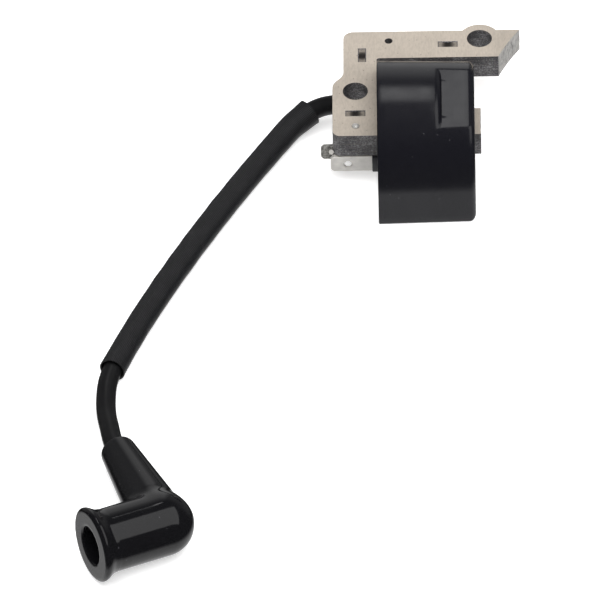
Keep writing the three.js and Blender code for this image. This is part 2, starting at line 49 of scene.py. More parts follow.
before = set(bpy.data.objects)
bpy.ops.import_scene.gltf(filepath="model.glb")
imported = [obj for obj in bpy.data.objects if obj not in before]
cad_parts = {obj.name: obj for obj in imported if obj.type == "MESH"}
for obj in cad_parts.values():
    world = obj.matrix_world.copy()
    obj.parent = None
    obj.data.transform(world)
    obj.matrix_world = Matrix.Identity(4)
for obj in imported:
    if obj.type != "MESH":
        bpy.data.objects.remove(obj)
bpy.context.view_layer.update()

MM = 0.001
MODULE = "module"
BOOT_BODY = "boot"
SHEETS = sorted(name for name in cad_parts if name.startswith("core_lamination"))

# ------------------------------------------------------------------ sizes, in millimetres


def low_high(node):
    """A node's lowest and highest corners, in millimetres."""
    low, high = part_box(node)
    return low / MM, high / MM


CORE_LOW, CORE_HIGH = low_high(SHEETS[-1])
CORE_HIGH_Z = CORE_HIGH.z
CORE_LOW_Z = low_high(SHEETS[0])[0].z
SHEET_THICK = (CORE_HIGH_Z - CORE_LOW_Z) / len(SHEETS)
LEG_FRONT, LEG_BACK = CORE_LOW.y, -3.05
ARM_FRONT, ARM_BACK = 16.1, 26.15
BACK_INNER, BACK_LOWER, BACK_UPPER = -11.2, CORE_LOW.x, -19.75
FLYWHEEL = Vector((75.6, -7.9))
FLYWHEEL_R = 60.4
HOLES = ((-16.7, 3.9), (15.33, 22.95))
HOLE_R = 3.2
EAR_R = CORE_HIGH.y - HOLES[1][1]
PIN_HOLES = ((-16.7, -9.08), (-8.06, 22.55))
PIN_HOLE_R = 1.0
DIMPLES = ((-16.7, -4.35, 0.0), (7.15, 21.05, 0.0), (-14.93, 17.35, 90.0))
DIMPLE_LONG, DIMPLE_WIDE, DIMPLE_DEEP = 4.7, 1.7, 0.42

CUP_LOW, CUP_HIGH = low_high("coil_housing")
ARCH_R = (CUP_HIGH.y - CUP_LOW.y) / 2
ARCH_Y = (CUP_HIGH.y + CUP_LOW.y) / 2
ARCH_Z = CUP_HIGH.z - ARCH_R
CUP_DRAFT = 0.022
CUP_WALL, CUP_END_WALL = 1.2, 1.6
RECESS_X, RECESS_DEEP, RECESS_TILT = 5.45, 2.75, math.radians(10.2)
LEG_HALF_Y = (LEG_BACK - LEG_FRONT) / 2
LEG_HALF_Z = (CORE_HIGH_Z - CORE_LOW_Z) / 2
LEG_MIDDLE = Vector((0, (LEG_BACK + LEG_FRONT) / 2, (CORE_HIGH_Z + CORE_LOW_Z) / 2))

ELBOW = Vector((-65.4, -142.5, 8.25))
BOOT_HEADING, BOOT_RISE, BOOT_ROLL = 206.0, 4.4, 6.2
BARREL_R, BARREL_LONG, FLANGE_R = 8.1, 19.6, 9.6
MOUTH_R, MOUTH_DEEP, HOLLOW_R = 4.9, 13.0, 4.2
NECK_ANGLE = math.radians(-95.5)
NECK_LONG, NECK_ROOT_R, NECK_END_R, NECK_BORE_R = 32.3, 6.6, 4.5, 2.85

LEAD_R = 2.5
LEAD_STOP = 5.5
SLEEVE_R, SLEEVE_WALL = 3.22, 0.35
SLEEVE_FLARES = ((0.42, 4.5), (0.16, 3.0))
SLEEVE_FROM, SLEEVE_TO = 0.128, 0.693

ROUTE = (
    (-5.2, 8, 7), (-8, 8, 7), (-11, 8, 7), (-15, 8.6, 7), (-19, 9.2, 7),
    (-22.6, 9.5, 6.85), (-26.2, 9.3, 6), (-29.4, 8.1, 5), (-32.9, 5.5, 4),
    (-36.4, 0.4, 3.4), (-39.9, -5.3, 3.3), (-46.85, -17, 3.3), (-53.4, -28.8, 3.3),
    (-59.55, -40.4, 3.3), (-63.85, -49, 3.3), (-68.05, -57.7, 3.3), (-71.9, -66.3, 3.3),
    (-75.65, -74.9, 3.3), (-78.05, -81.4, 3.3), (-79.6, -87.2, 3), (-80, -92.6, 2.7),
    (-79.8, -98, 2.8), (-79, -103.4, 3.5),
)

# ------------------------------------------------------------------ materials

PLACES = "ShaderNodeTexCoord"
MAPPING = "ShaderNodeMapping"
SPLIT = "ShaderNodeSeparateXYZ"
NOISE = "ShaderNodeTexNoise"
DOTS = "ShaderNodeTexVoronoi"
RAMP = "ShaderNodeValToRGB"
RANGE = "ShaderNodeMapRange"
MATHS = "ShaderNodeMath"
VECTORS = "ShaderNodeVectorMath"
MIX = "ShaderNodeMix"
BUMP = "ShaderNodeBump"
SHADER = "ShaderNodeBsdfPrincipled"
OUTPUT = "ShaderNodeOutputMaterial"

# The places of a colour mix's factor and two colours among its inputs.
FACTOR, FIRST, SECOND = 0, 6, 7


def linear(hex_colour):
    """An sRGB hex colour as linear RGBA."""
    channels = [int(hex_colour[i : i + 2], 16) / 255 for i in (1, 3, 5)]
    toned = [c / 12.92 if c <= 0.04045 else ((c + 0.055) / 1.055) ** 2.4 for c in channels]
    return (*toned, 1.0)


def grey(value):
    return (value, value, value, 1.0)


def scaled(colour, factor):
    """A colour made lighter or darker."""
    return (*(min(1.0, c * factor) for c in colour[:3]), 1.0)


def per_mm(size):
    """A pattern's scale, from the size of its features in millimetres."""
    return 1 / (size * MM)


def add_node(tree, kind, inputs=None, stops=(), **settings):
    """Adds a node with its settings.

    An input takes a value, a socket, or a node, whose first live output is then linked.
    Stops are a colour ramp's places and colours.
    """
    made = tree.nodes.new(kind)
    for name, value in settings.items():
        setattr(made, name, value)
    for key, source in (inputs or {}).items():
        if isinstance(source, bpy.types.Node):
            source = next(out for out in source.outputs if out.enabled)
        if isinstance(source, bpy.types.NodeSocket):
            tree.links.new(source, made.inputs[key])
        else:
            made.inputs[key].default_value = source
    if stops:
        band = made.color_ramp.elements
        for element, (place, colour) in zip((band[0], band[1]), (stops[0], stops[-1])):
            element.position, element.color = place, colour
        for place, colour in stops[1:-1]:
            band.new(place).color = colour
    return made


def made_of(recipe, looks):
    """A material named for its recipe.

    The recipe gets the tree, the socket that places patterns, and the colours. It adds
    the nodes and returns the shader.
    """
    name = recipe.__name__
    material = bpy.data.materials.get(name) or bpy.data.materials.new(name)
    material.use_nodes = True
    tree = material.node_tree
    tree.nodes.clear()
    places = add_node(tree, PLACES).outputs["Object"]
    add_node(tree, OUTPUT, {"Surface": recipe(tree, places, looks)})
    return material


def lacquered_silicon_steel(tree, places, looks):
    """Cold-rolled silicon steel under a thin oxide lacquer.

    The rolled face is a satin warm grey with a faint grain along the strip and a few
    dark pinholes. Press oil has stained the steel round the interlock dimples, and inside
    the dimples the colour darkens with depth as painted shade, together with the oil.
    """
    cloud = add_node(tree, NOISE, {"Vector": places, "Scale": per_mm(16.0), "Detail": 2.0})
    strip = add_node(tree, MAPPING, {"Vector": places, "Scale": (1.0, 0.3, 1.0)})
    grain = add_node(tree, NOISE, {
        "Vector": strip, "Scale": per_mm(0.45), "Detail": 4.0, "Roughness": 0.7,
    })
    face = looks.core_face
    colour = add_node(tree, RAMP, {"Fac": cloud}, ((0.35, scaled(face, 0.88)), (0.62, face)))
    shade = add_node(tree, RAMP, {"Fac": grain}, ((0.3, grey(0.84)), (0.6, grey(1.0))))
    colour = add_node(
        tree, MIX, {FACTOR: 1.0, FIRST: colour, SECOND: shade},
        data_type="RGBA", blend_type="MULTIPLY",
    )
    holes = add_node(tree, DOTS, {"Vector": places, "Scale": per_mm(1.7)})
    holes = add_node(
        tree, RAMP, {"Fac": holes}, ((0.0, grey(0.8)), (0.07, grey(0.5)), (0.12, grey(0.0)))
    )
    colour = add_node(
        tree, MIX, {FACTOR: holes, FIRST: colour, SECOND: linear("#6F665D")}, data_type="RGBA"
    )
    ragged = add_node(tree, NOISE, {
        "Vector": places, "Scale": per_mm(0.5), "Detail": 4.0, "Roughness": 0.7,
    })
    for dimple in DIMPLES:
        stain = oil_stain(tree, places, ragged, dimple)
        colour = add_node(
            tree, MIX, {FACTOR: stain, FIRST: colour, SECOND: linear("#3A332E")},
            data_type="RGBA",
        )
    height = add_node(tree, SPLIT, {"Vector": places}).outputs["Z"]
    sunk = add_node(tree, RANGE, {
        "Value": height, "From Min": (CORE_HIGH_Z - 0.5) * MM, "From Max": CORE_HIGH_Z * MM,
    })
    # Painted shade together with press oil: darkest from the foot of a dimple, fading up to the
    # rolled face.
    shade_and_oil_stops = ((0.0, grey(0.0)), (0.02, grey(1.0)), (0.35, grey(0.98)), (0.6, grey(0.75)),
              (0.85, grey(0.35)), (0.98, grey(0.0)))
    colour = add_node(
        tree, MIX,
        {FACTOR: add_node(tree, RAMP, {"Fac": sunk}, shade_and_oil_stops), FIRST: colour,
         SECOND: linear("#1E1A18")},
        data_type="RGBA",
    )
    rough = add_node(tree, RAMP, {"Fac": grain}, ((0.3, grey(0.55)), (0.7, grey(0.42))))
    normal = add_node(tree, BUMP, {"Height": grain, "Strength": 0.3, "Distance": 0.03 * MM})
    return add_node(tree, SHADER, {
        "Base Color": colour, "Roughness": rough, "Normal": normal, "Metallic": 0.2,
    })


def oil_stain(tree, places, ragged, dimple):
    """A smudge of press oil, ragged at its edge, round one interlock dimple."""
    x, y, turn = dimple
    local = add_node(tree, MAPPING, {
        "Vector": places, "Location": Vector((x, y, CORE_HIGH_Z)) * MM,
        "Rotation": (0.0, 0.0, math.radians(turn)),
    }, vector_type="TEXTURE")
    reach = (per_mm(DIMPLE_LONG * 0.72), per_mm(DIMPLE_WIDE * 0.95), 0.0)
    local = add_node(tree, MAPPING, {"Vector": local, "Scale": reach})
    away = add_node(tree, VECTORS, {0: local}, operation="LENGTH")
    edge = add_node(tree, MATHS, {0: ragged, 1: 0.9, 2: away}, operation="MULTIPLY_ADD")
    fade = ((0.7, grey(0.6)), (0.95, grey(0.45)), (1.3, grey(0.14)), (1.65, grey(0.0)))
    return add_node(tree, RAMP, {"Fac": edge}, fade)


def sheared_sheet_edge(tree, places, looks):
    """The cut edges of the stacked sheets, blackened and dipped in varnish.

    Dark grey and half matt, finely speckled with bare steel, more so in some places.
    """
    cloud = add_node(tree, NOISE, {"Vector": places, "Scale": per_mm(5.0), "Detail": 2.0})
    fine = add_node(tree, NOISE, {
        "Vector": places, "Scale": per_mm(0.42), "Detail": 4.0, "Roughness": 0.7,
    })
    sum_of = add_node(tree, MATHS, {0: cloud, 1: 0.55, 2: fine}, operation="MULTIPLY_ADD")
    dark = looks.core_edge
    steps = ((0.62, dark), (0.8, scaled(dark, 2.2)), (0.95, scaled(dark, 5.5)))
    colour = add_node(tree, RAMP, {"Fac": sum_of}, steps)
    normal = add_node(tree, BUMP, {"Height": fine, "Strength": 0.5, "Distance": 0.05 * MM})
    return add_node(tree, SHADER, {
        "Base Color": colour, "Normal": normal, "Metallic": 0.15, "Roughness": 0.5,
    })


def ground_pole_face(tree, places, looks):
    """The pole faces, ground to the flywheel's curve.

    Bare pale grey steel, streaked across the sheets and pitted dark here and there.
    """
    upright = add_node(tree, MAPPING, {"Vector": places, "Scale": (1.0, 1.0, 0.3)})
    marks = add_node(tree, NOISE, {
        "Vector": upright, "Scale": per_mm(0.6), "Detail": 5.0, "Roughness": 0.75,
    })
    steps = ((0.32, linear("#626060")), (0.5, linear("#A6A4A1")), (0.7, linear("#C2C0BC")))
    colour = add_node(tree, RAMP, {"Fac": marks}, steps)
    normal = add_node(tree, BUMP, {"Height": marks, "Strength": 0.4, "Distance": 0.03 * MM})
    return add_node(tree, SHADER, {
        "Base Color": colour, "Normal": normal, "Metallic": 0.25, "Roughness": 0.45,
    })


def moulded_black_polyester(tree, places, looks):
    """Glass-filled polyester moulded in a polished tool.

    Black with a clear gloss, a very slight ripple, and a little dust.
    """
    ripple = add_node(tree, NOISE, {"Vector": places, "Scale": per_mm(5.0), "Detail": 2.0})
    dots = add_node(tree, DOTS, {"Vector": places, "Scale": per_mm(3.1)})
    dust = add_node(
        tree, RAMP, {"Fac": dots}, ((0.0, grey(1.0)), (0.035, grey(0.6)), (0.056, grey(0.0)))
    )
    colour = add_node(
        tree, MIX, {FACTOR: dust, FIRST: looks.housing, SECOND: linear("#4A4A4C")},
        data_type="RGBA",
    )
    rough = add_node(tree, RAMP, {"Fac": ripple}, ((0.35, grey(0.22)), (0.7, grey(0.27))))
    normal = add_node(tree, BUMP, {"Height": ripple, "Strength": 0.14, "Distance": 0.05 * MM})
    return add_node(tree, SHADER, {
        "Base Color": colour, "Roughness": rough, "Normal": normal, "IOR": 1.54,
    })


def poured_epoxy(tree, places, looks):
    """Black potting epoxy as it set: level and glossy, with a few soft swells."""
    swell = add_node(tree, NOISE, {"Vector": places, "Scale": per_mm(4.0), "Detail": 2.0})
    skin = add_node(tree, NOISE, {"Vector": places, "Scale": per_mm(1.2)})
    rough = add_node(tree, RAMP, {"Fac": skin}, ((0.3, grey(0.18)), (0.7, grey(0.34))))
    normal = add_node(tree, BUMP, {"Height": swell, "Strength": 0.4, "Distance": 0.15 * MM})
    return add_node(tree, SHADER, {
        "Base Color": linear("#0D0D0E"), "Roughness": rough, "Normal": normal, "IOR": 1.52,
    })


def tin_plated_steel(tree, places, looks):
    """Tin plate: pale, slightly warm metal with a soft sheen and fine rolling lines."""
    rolled = add_node(tree, MAPPING, {"Vector": places, "Scale": (0.12, 1.0, 1.0)})
    lines = add_node(tree, NOISE, {"Vector": rolled, "Scale": per_mm(0.3), "Detail": 4.0})
    stain = add_node(tree, NOISE, {"Vector": places, "Scale": per_mm(2.2), "Detail": 3.0})
    colour = add_node(
        tree, RAMP, {"Fac": stain}, ((0.3, scaled(looks.tin, 0.8)), (0.65, looks.tin))
    )
    rough = add_node(tree, RAMP, {"Fac": lines}, ((0.3, grey(0.28)), (0.7, grey(0.42))))
    normal = add_node(tree, BUMP, {"Height": lines, "Strength": 0.2, "Distance": 0.02 * MM})
    return add_node(tree, SHADER, {
        "Base Color": colour, "Roughness": rough, "Normal": normal, "Metallic": 0.2,
    })


def burnished_steel(tree, places, looks):
    """A rivet's end as the press tool leaves it: a bright, nearly mirror-like dome."""
    turned = add_node(tree, NOISE, {"Vector": places, "Scale": per_mm(0.25), "Detail": 3.0})
    rough = add_node(tree, RAMP, {"Fac": turned}, ((0.3, grey(0.12)), (0.7, grey(0.22))))
    normal = add_node(tree, BUMP, {"Height": turned, "Strength": 0.15, "Distance": 0.02 * MM})
    return add_node(tree, SHADER, {
        "Base Color": linear("#D2D0CC"), "Roughness": rough, "Normal": normal, "Metallic": 0.5,
    })


def dull_zinc(tree, places, looks):
    """Zinc plate gone dull: mid grey, uneven, with dark in its grooves."""
    bloom = add_node(tree, NOISE, {
        "Vector": places, "Scale": per_mm(0.8), "Detail": 4.0, "Roughness": 0.6,
    })
    steps = ((0.35, linear("#5E5D5A")), (0.7, linear("#B4B2AD")))
    colour = add_node(tree, RAMP, {"Fac": bloom}, steps)
    normal = add_node(tree, BUMP, {"Height": bloom, "Strength": 0.3, "Distance": 0.04 * MM})
    return add_node(tree, SHADER, {
        "Base Color": colour, "Normal": normal, "Metallic": 0.4, "Roughness": 0.4,
    })


def natural_nylon(tree, places, looks):
    """Unfilled nylon as moulded: milky, half matt and a little translucent."""
    tint = add_node(tree, NOISE, {"Vector": places, "Scale": per_mm(3.0), "Detail": 3.0})
    steps = ((0.3, linear("#CFC7B2")), (0.7, linear("#E2DCCB")))
    colour = add_node(tree, RAMP, {"Fac": tint}, steps)
    return add_node(tree, SHADER, {
        "Base Color": colour, "Roughness": 0.45, "IOR": 1.53, "Subsurface Weight": 0.15,
        "Subsurface Radius": (0.001, 0.0009, 0.0007),
    })


def enamelled_copper_wire(tree, places, looks):
    """Fine copper wire under amber enamel, its turns side by side along the coil."""
    # The real wire is 0.06 to 0.3 mm; turns are drawn 0.35 mm apart so that they show.
    turns = add_node(tree, "ShaderNodeTexWave", {
        "Vector": places, "Scale": per_mm(0.35) / (2 * math.pi), "Distortion": 0.4,
    })
    steps = ((0.1, linear("#5E2A10")), (0.8, linear("#B9652F")))
    colour = add_node(tree, RAMP, {"Fac": turns}, steps)
    normal = add_node(tree, BUMP, {"Height": turns, "Strength": 0.8, "Distance": 0.15 * MM})
    return add_node(tree, SHADER, {
        "Base Color": colour, "Normal": normal, "Metallic": 0.9, "Roughness": 0.3,
    })


def glass_epoxy_board(tree, places, looks):
    """Glass-epoxy laminate under green solder resist, its cloth just showing."""
    cloth = add_node(tree, "ShaderNodeTexChecker", {
        "Vector": places, "Scale": per_mm(0.6), "Color1": linear("#245638"),
        "Color2": linear("#1E4A30"),
    })
    return add_node(tree, SHADER, {"Base Color": cloth, "Roughness": 0.35, "IOR": 1.55})


def moulded_epoxy_body(tree, places, looks):
    """The filled epoxy of small electronic parts: dark grey and evenly matt."""
    fine = add_node(tree, NOISE, {"Vector": places, "Scale": per_mm(0.12)})
    steps = ((0.3, linear("#1C1C1D")), (0.7, linear("#2B2B2C")))
    colour = add_node(tree, RAMP, {"Fac": fine}, steps)
    normal = add_node(tree, BUMP, {"Height": fine, "Strength": 0.3, "Distance": 0.02 * MM})
    return add_node(tree, SHADER, {"Base Color": colour, "Normal": normal, "Roughness": 0.6})


def fired_ceramic(tree, places, looks):
    """Barium titanate as fired: tan, close-grained and half matt."""
    fine = add_node(tree, NOISE, {"Vector": places, "Scale": per_mm(0.4), "Detail": 3.0})
    steps = ((0.3, linear("#9A7447")), (0.7, linear("#B58E5F")))
    colour = add_node(tree, RAMP, {"Fac": fine}, steps)
    return add_node(tree, SHADER, {"Base Color": colour, "Roughness": 0.45, "IOR": 1.8})


def extruded_silicone(tree, places, looks):
    """The lead's silicone jacket: black, extruded smooth, with a soft skin gloss."""
    skin = add_node(tree, NOISE, {"Vector": places, "Scale": per_mm(1.6), "Detail": 3.0})
    rough = add_node(tree, RAMP, {"Fac": skin}, ((0.3, grey(0.3)), (0.7, grey(0.44))))
    normal = add_node(tree, BUMP, {"Height": skin, "Strength": 0.12, "Distance": 0.05 * MM})
    return add_node(tree, SHADER, {
        "Base Color": looks.lead, "Roughness": rough, "Normal": normal, "IOR": 1.43,
    })


def varnished_glass_braid(tree, places, looks):
    """Braided glass yarn under black varnish.

    Two sets of yarns cross at an angle and leave a fine diamond pattern, bright where a
    yarn rides over another. The sleeve's "braid" attribute counts yarns round and along.
    """
    chart = add_node(tree, "ShaderNodeAttribute", attribute_name="braid").outputs["Vector"]
    parts = add_node(tree, SPLIT, {"Vector": chart})
    strands = []
    for sign in (1.0, -1.0):
        slant = add_node(
            tree, MATHS, {0: parts.outputs[1], 1: sign, 2: parts.outputs[0]},
            operation="MULTIPLY_ADD",
        )
        turns = add_node(tree, MATHS, {0: slant, 1: 2 * math.pi}, operation="MULTIPLY")
        strands.append(add_node(tree, MATHS, {0: turns}, operation="SINE"))
    over = add_node(tree, MATHS, {0: strands[0], 1: strands[1]}, operation="MULTIPLY")
    lifted = add_node(tree, MATHS, {0: over, 1: 0.5, 2: 0.5}, operation="MULTIPLY_ADD")
    fuzz = add_node(tree, NOISE, {
        "Vector": places, "Scale": per_mm(0.35), "Detail": 4.0, "Roughness": 0.7,
    })
    height = add_node(tree, MIX, {FACTOR: 0.3, FIRST: lifted, SECOND: fuzz}, data_type="RGBA")
    dark = looks.sleeve
    steps = ((0.42, dark), (0.62, scaled(dark, 3.0)), (0.8, scaled(dark, 12.0)))
    colour = add_node(tree, RAMP, {"Fac": height}, steps)
    rough = add_node(tree, RAMP, {"Fac": height}, ((0.2, grey(0.5)), (0.8, grey(0.32))))
    normal = add_node(tree, BUMP, {"Height": height, "Strength": 0.6, "Distance": 0.12 * MM})
    return add_node(tree, SHADER, {
        "Base Color": colour, "Roughness": rough, "Normal": normal,
    })


def moulded_rubber(tree, places, looks):
    """Black moulded rubber, straight from a polished mould.

    Glossy, with a slight unevenness in the gloss and specks of pale dust.
    """
    cloud = add_node(tree, NOISE, {"Vector": places, "Scale": per_mm(6.0), "Detail": 3.0})
    fine = add_node(tree, NOISE, {"Vector": places, "Scale": per_mm(0.5), "Detail": 3.0})
    dots = add_node(tree, DOTS, {"Vector": places, "Scale": per_mm(2.3)})
    dust = add_node(
        tree, RAMP, {"Fac": dots}, ((0.0, grey(1.0)), (0.04, grey(0.6)), (0.064, grey(0.0)))
    )
    colour = add_node(
        tree, MIX, {FACTOR: dust, FIRST: looks.boot, SECOND: linear("#5A5A5E")},
        data_type="RGBA",
    )
    rough = add_node(tree, RAMP, {"Fac": cloud}, ((0.35, grey(0.07)), (0.65, grey(0.13))))
    normal = add_node(tree, BUMP, {"Height": fine, "Strength": 0.08, "Distance": 0.03 * MM})
    return add_node(tree, SHADER, {
        "Base Color": colour, "Roughness": rough, "Normal": normal, "IOR": 1.52,
    })


def bright_spring_wire(tree, places, looks):
    """Drawn spring wire: bright, with fine lines."""
    drawn = add_node(tree, NOISE, {"Vector": places, "Scale": per_mm(0.2), "Detail": 3.0})
    rough = add_node(tree, RAMP, {"Fac": drawn}, ((0.3, grey(0.22)), (0.7, grey(0.36))))
    normal = add_node(tree, BUMP, {"Height": drawn, "Strength": 0.1, "Distance": 0.01 * MM})
    return add_node(tree, SHADER, {
        "Base Color": linear("#B5B4B0"), "Roughness": rough, "Normal": normal, "Metallic": 1.0,
    })


def white_table(tree, places, looks):
    """A white laminate table top: matt, and very slightly mottled."""
    cloud = add_node(tree, NOISE, {"Vector": places, "Scale": per_mm(40.0)})
    rough = add_node(tree, RAMP, {"Fac": cloud}, ((0.3, grey(0.66)), (0.7, grey(0.74))))
    return add_node(tree, SHADER, {
        "Base Color": looks.table, "Roughness": rough, "Emission Color": looks.table,
        "Emission Strength": looks.table_glow,
    })


# ------------------------------------------------------------------ mesh helpers

# Points nearer than this, in millimetres, become one.
WELD = 0.002


def placed(name, mesh, materials, node, body=MODULE):
    """An object for a mesh, riding on a body and standing for a CAD node."""
    thing = bpy.data.objects.new(name, mesh)
    bpy.context.scene.collection.objects.link(thing)
    for material in materials:
        thing.data.materials.append(material)
    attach(thing, body)
    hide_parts(node)


def softened(mesh, angle=35.0):
    """Smooth shading, with edges sharper than the angle left crisp."""
    mesh.shade_smooth()
    mesh.set_sharp_from_angle(angle=math.radians(angle))
    return mesh


def mesh_from(name, points, faces, slivers=True):
    """A closed mesh from points in millimetres, with its faces turned outwards.

    Without slivers, faces that have no width are dissolved too.
    """
    mesh = bpy.data.meshes.new(name)
    mesh.from_pydata([Vector(p) * MM for p in points], [], faces)
    work = bmesh.new()
    work.from_mesh(mesh)
    bmesh.ops.remove_doubles(work, verts=work.verts, dist=WELD * MM)
    if not slivers:
        bmesh.ops.dissolve_degenerate(work, edges=work.edges, dist=WELD / 2 * MM)
    bmesh.ops.recalc_face_normals(work, faces=work.faces)
    work.to_mesh(mesh)
    work.free()
    return mesh


def arc(x, y, r, start, stop, steps):
    """Points along an arc, both ends included."""
    angles = [start + (stop - start) * i / steps for i in range(steps + 1)]
    return [Vector((x + r * math.cos(a), y + r * math.sin(a))) for a in angles]


def circle(x, y, r, sides):
    return arc(x, y, r, 0.0, 2 * math.pi * (1 - 1 / sides), sides - 1)


def rounded(corners, steps=8):
    """A closed outline through corners (x, y, radius), with a round at each radius."""
    points = []
    for i, corner in enumerate(corners):
        here = Vector(corner[:2])
        r = corner[2] if len(corner) > 2 else 0.0
        if r == 0.0:
            points.append(here)
            continue
        back = (Vector(corners[i - 1][:2]) - here).normalized()
        on = (Vector(corners[(i + 1) % len(corners)][:2]) - here).normalized()
        half = math.acos(max(-1.0, min(1.0, back.dot(on)))) / 2
        middle = here + (back + on).normalized() * (r / math.sin(half))
        start = here + back * (r / math.tan(half)) - middle
        first = math.atan2(start.y, start.x)
        cross = on.x * back.y - on.y * back.x
        swing = math.copysign(math.pi - 2 * half, cross)
        points += arc(middle.x, middle.y, r, first, first + swing, steps)
    return points


def inset(loop, depth):
    """A closed loop moved to its left by a depth, keeping its corners."""
    moved = []
    for i, here in enumerate(loop):
        ahead = (loop[(i + 1) % len(loop)] - here).normalized()
        behind = (here - loop[i - 1]).normalized()
        left = Vector((-ahead.y - behind.y, ahead.x + behind.x))
        if left.length < 1e-6:
            left = Vector((-ahead.y, ahead.x))
        left.normalize()
        across = max(0.35, left.dot(Vector((-ahead.y, ahead.x))))
        moved.append(here + left * (depth / across))
    return moved


def ring_faces(count, rings, start=0):
    """Four-sided faces between rings of so many points each, the first point at start."""
    faces = []
    for ring in range(start, start + count * (rings - 1), count):
        for i in range(count):
            a, b = ring + i, ring + (i + 1) % count
            faces.append((a, b, b + count, a + count))
    return faces


AXES = {
    "x": Matrix(((0, 0, 1), (1, 0, 0), (0, 1, 0))),
    "y": Matrix(((0, 1, 0), (0, 0, 1), (1, 0, 0))),
    "z": Matrix.Identity(3),
}


def plate(name, outline, holes, axis, low, high, soft):
    """A flat piece with its edges broken by a small chamfer.

    The outline runs anticlockwise in (x, y), (y, z) or (z, x), seen down the axis.
    """
    loops = [outline] + [list(reversed(hole)) for hole in holes]
    levels = ((soft, low), (0.0, low + soft), (0.0, high - soft), (soft, high))
    points, faces, starts = [], [], []
    for loop in loops:
        starts.append(len(points))
        for depth, level in levels:
            for p in inset(loop, depth) if depth else loop:
                points.append(AXES[axis] @ Vector((p.x, p.y, level)))
        faces += ring_faces(len(loop), len(levels), starts[-1])
    for ring in (0, len(levels) - 1):
        flat, index = [], []
        for loop, start in zip(loops, starts):
            ids = [start + ring * len(loop) + i for i in range(len(loop))]
            depth = levels[ring][0]
            flat.append([Vector((p.x, p.y, 0.0)) for p in inset(loop, depth)])
            index += ids
        for triangle in tessellate_polygon(flat):
            faces.append(tuple(index[i] for i in triangle))
    return mesh_from(name, points, faces)


def loft(name, rings):
    """A closed body through rings of equal counts, capped at both ends."""
    count = len(rings[0])
    points = [p for ring in rings for p in ring]
    caps = [tuple(range(count)), tuple(range(len(points) - count, len(points)))]
    return mesh_from(name, points, caps + ring_faces(count, len(rings)))


def lathe(name, profile, sides):
    """A body turned about +X from (radius, along) points that start and end on it."""
    angles = [2 * math.pi * i / sides for i in range(sides)]
    points = [(along, r * math.cos(a), r * math.sin(a)) for r, along in profile for a in angles]
    return mesh_from(name, points, ring_faces(sides, len(profile)), slivers=False)


def merged(a, b, k):
    """The smaller of two distances, with their crossing rounded over about k."""
    h = np.maximum(k - np.abs(a - b), 0) / k
    return np.minimum(a, b) - h * h * k / 4


def stood_up(mesh, x, y, z):
    """Turns a lathed mesh's axis to +Z and moves its start to a place."""
    place = Matrix.Translation(Vector((x, y, z)) * MM)
    mesh.transform(place @ Matrix.Rotation(-math.pi / 2, 4, "Y"))
    return mesh


def combined(mesh, tools, operation="DIFFERENCE"):
    """The mesh after each tool mesh is cut from it or joined to it."""
    body = bpy.data.objects.new(mesh.name, mesh)
    bpy.context.scene.collection.objects.link(body)
    helpers = []
    for tool in tools:
        helper = bpy.data.objects.new(tool.name, tool)
        bpy.context.scene.collection.objects.link(helper)
        step = body.modifiers.new("cut", "BOOLEAN")
        step.object = helper
        step.operation = operation
        step.solver = "EXACT"
        helpers.append(helper)
    result = applied(body)
    for helper in helpers:
        spare = helper.data
        bpy.data.objects.remove(helper)
        bpy.data.meshes.remove(spare)
    result.name = mesh.name
    bpy.data.objects.remove(body)
    return result


def applied(thing):
    """The mesh that an object's modifiers make."""
    depsgraph = bpy.context.evaluated_depsgraph_get()
    depsgraph.update()
    return bpy.data.meshes.new_from_object(thing.evaluated_get(depsgraph))


# ------------------------------------------------------------------ the lead's path


def boot_matrix():
    """The boot's own axes in the frame: barrel along +X, neck near -Y."""
    turn = Euler(
        (math.radians(BOOT_ROLL), math.radians(-BOOT_RISE), math.radians(BOOT_HEADING)), "XYZ"
    )
    return Matrix.Translation(ELBOW * MM) @ turn.to_matrix().to_4x4()


NECK_WAY = Vector((math.cos(NECK_ANGLE), math.sin(NECK_ANGLE), 0.0))


def on_neck(distance):
    """A point on the neck's axis, in millimetres in the frame."""
    return boot_matrix() @ (NECK_WAY * distance * MM) / MM


def smooth_path(corners, steps):
    """A centripetal Catmull-Rom curve through corners, with steps between each two."""
    first, last = corners[0] * 2 - corners[1], corners[-1] * 2 - corners[-2]
    run = [first, *corners, last]
    points = []
    for p0, p1, p2, p3 in zip(run, run[1:], run[2:], run[3:]):
        d0, d1, d2 = ((b - a).length ** 0.5 for a, b in ((p0, p1), (p1, p2), (p2, p3)))
        leave = ((p1 - p0) / d0 - (p2 - p0) / (d0 + d1) + (p2 - p1) / d1) * d1
        arrive = ((p2 - p1) / d1 - (p3 - p1) / (d1 + d2) + (p3 - p2) / d2) * d1
        cubic = 2 * p1 - 2 * p2 + leave + arrive
        square = 3 * p2 - 3 * p1 - 2 * leave - arrive
        for k in range(steps):
            t = k / steps
            points.append(((cubic * t + square) * t + leave) * t + p1)
    return points + [corners[-1]]


def lead_path():
    boot = [on_neck(d) for d in (NECK_LONG + 2.5, NECK_LONG - 4, NECK_LONG / 2, LEAD_STOP)]
    return smooth_path([Vector(p) for p in ROUTE] + boot, 10)


def length_of(path):
    return sum((b - a).length for a, b in zip(path, path[1:]))


def stretch_of(path, start, stop, count):
    """Points evenly spaced along a path between two shares of its length."""
    total = length_of(path)
    wanted = [total * (start + (stop - start) * i / count) for i in range(count + 1)]
    run, part = 0.0, []
    for a, b in zip(path, path[1:]):
        step = (b - a).length
        while wanted and wanted[0] <= run + step + 1e-6:
            part.append(a.lerp(b, (wanted.pop(0) - run) / step))
        run += step
    return part


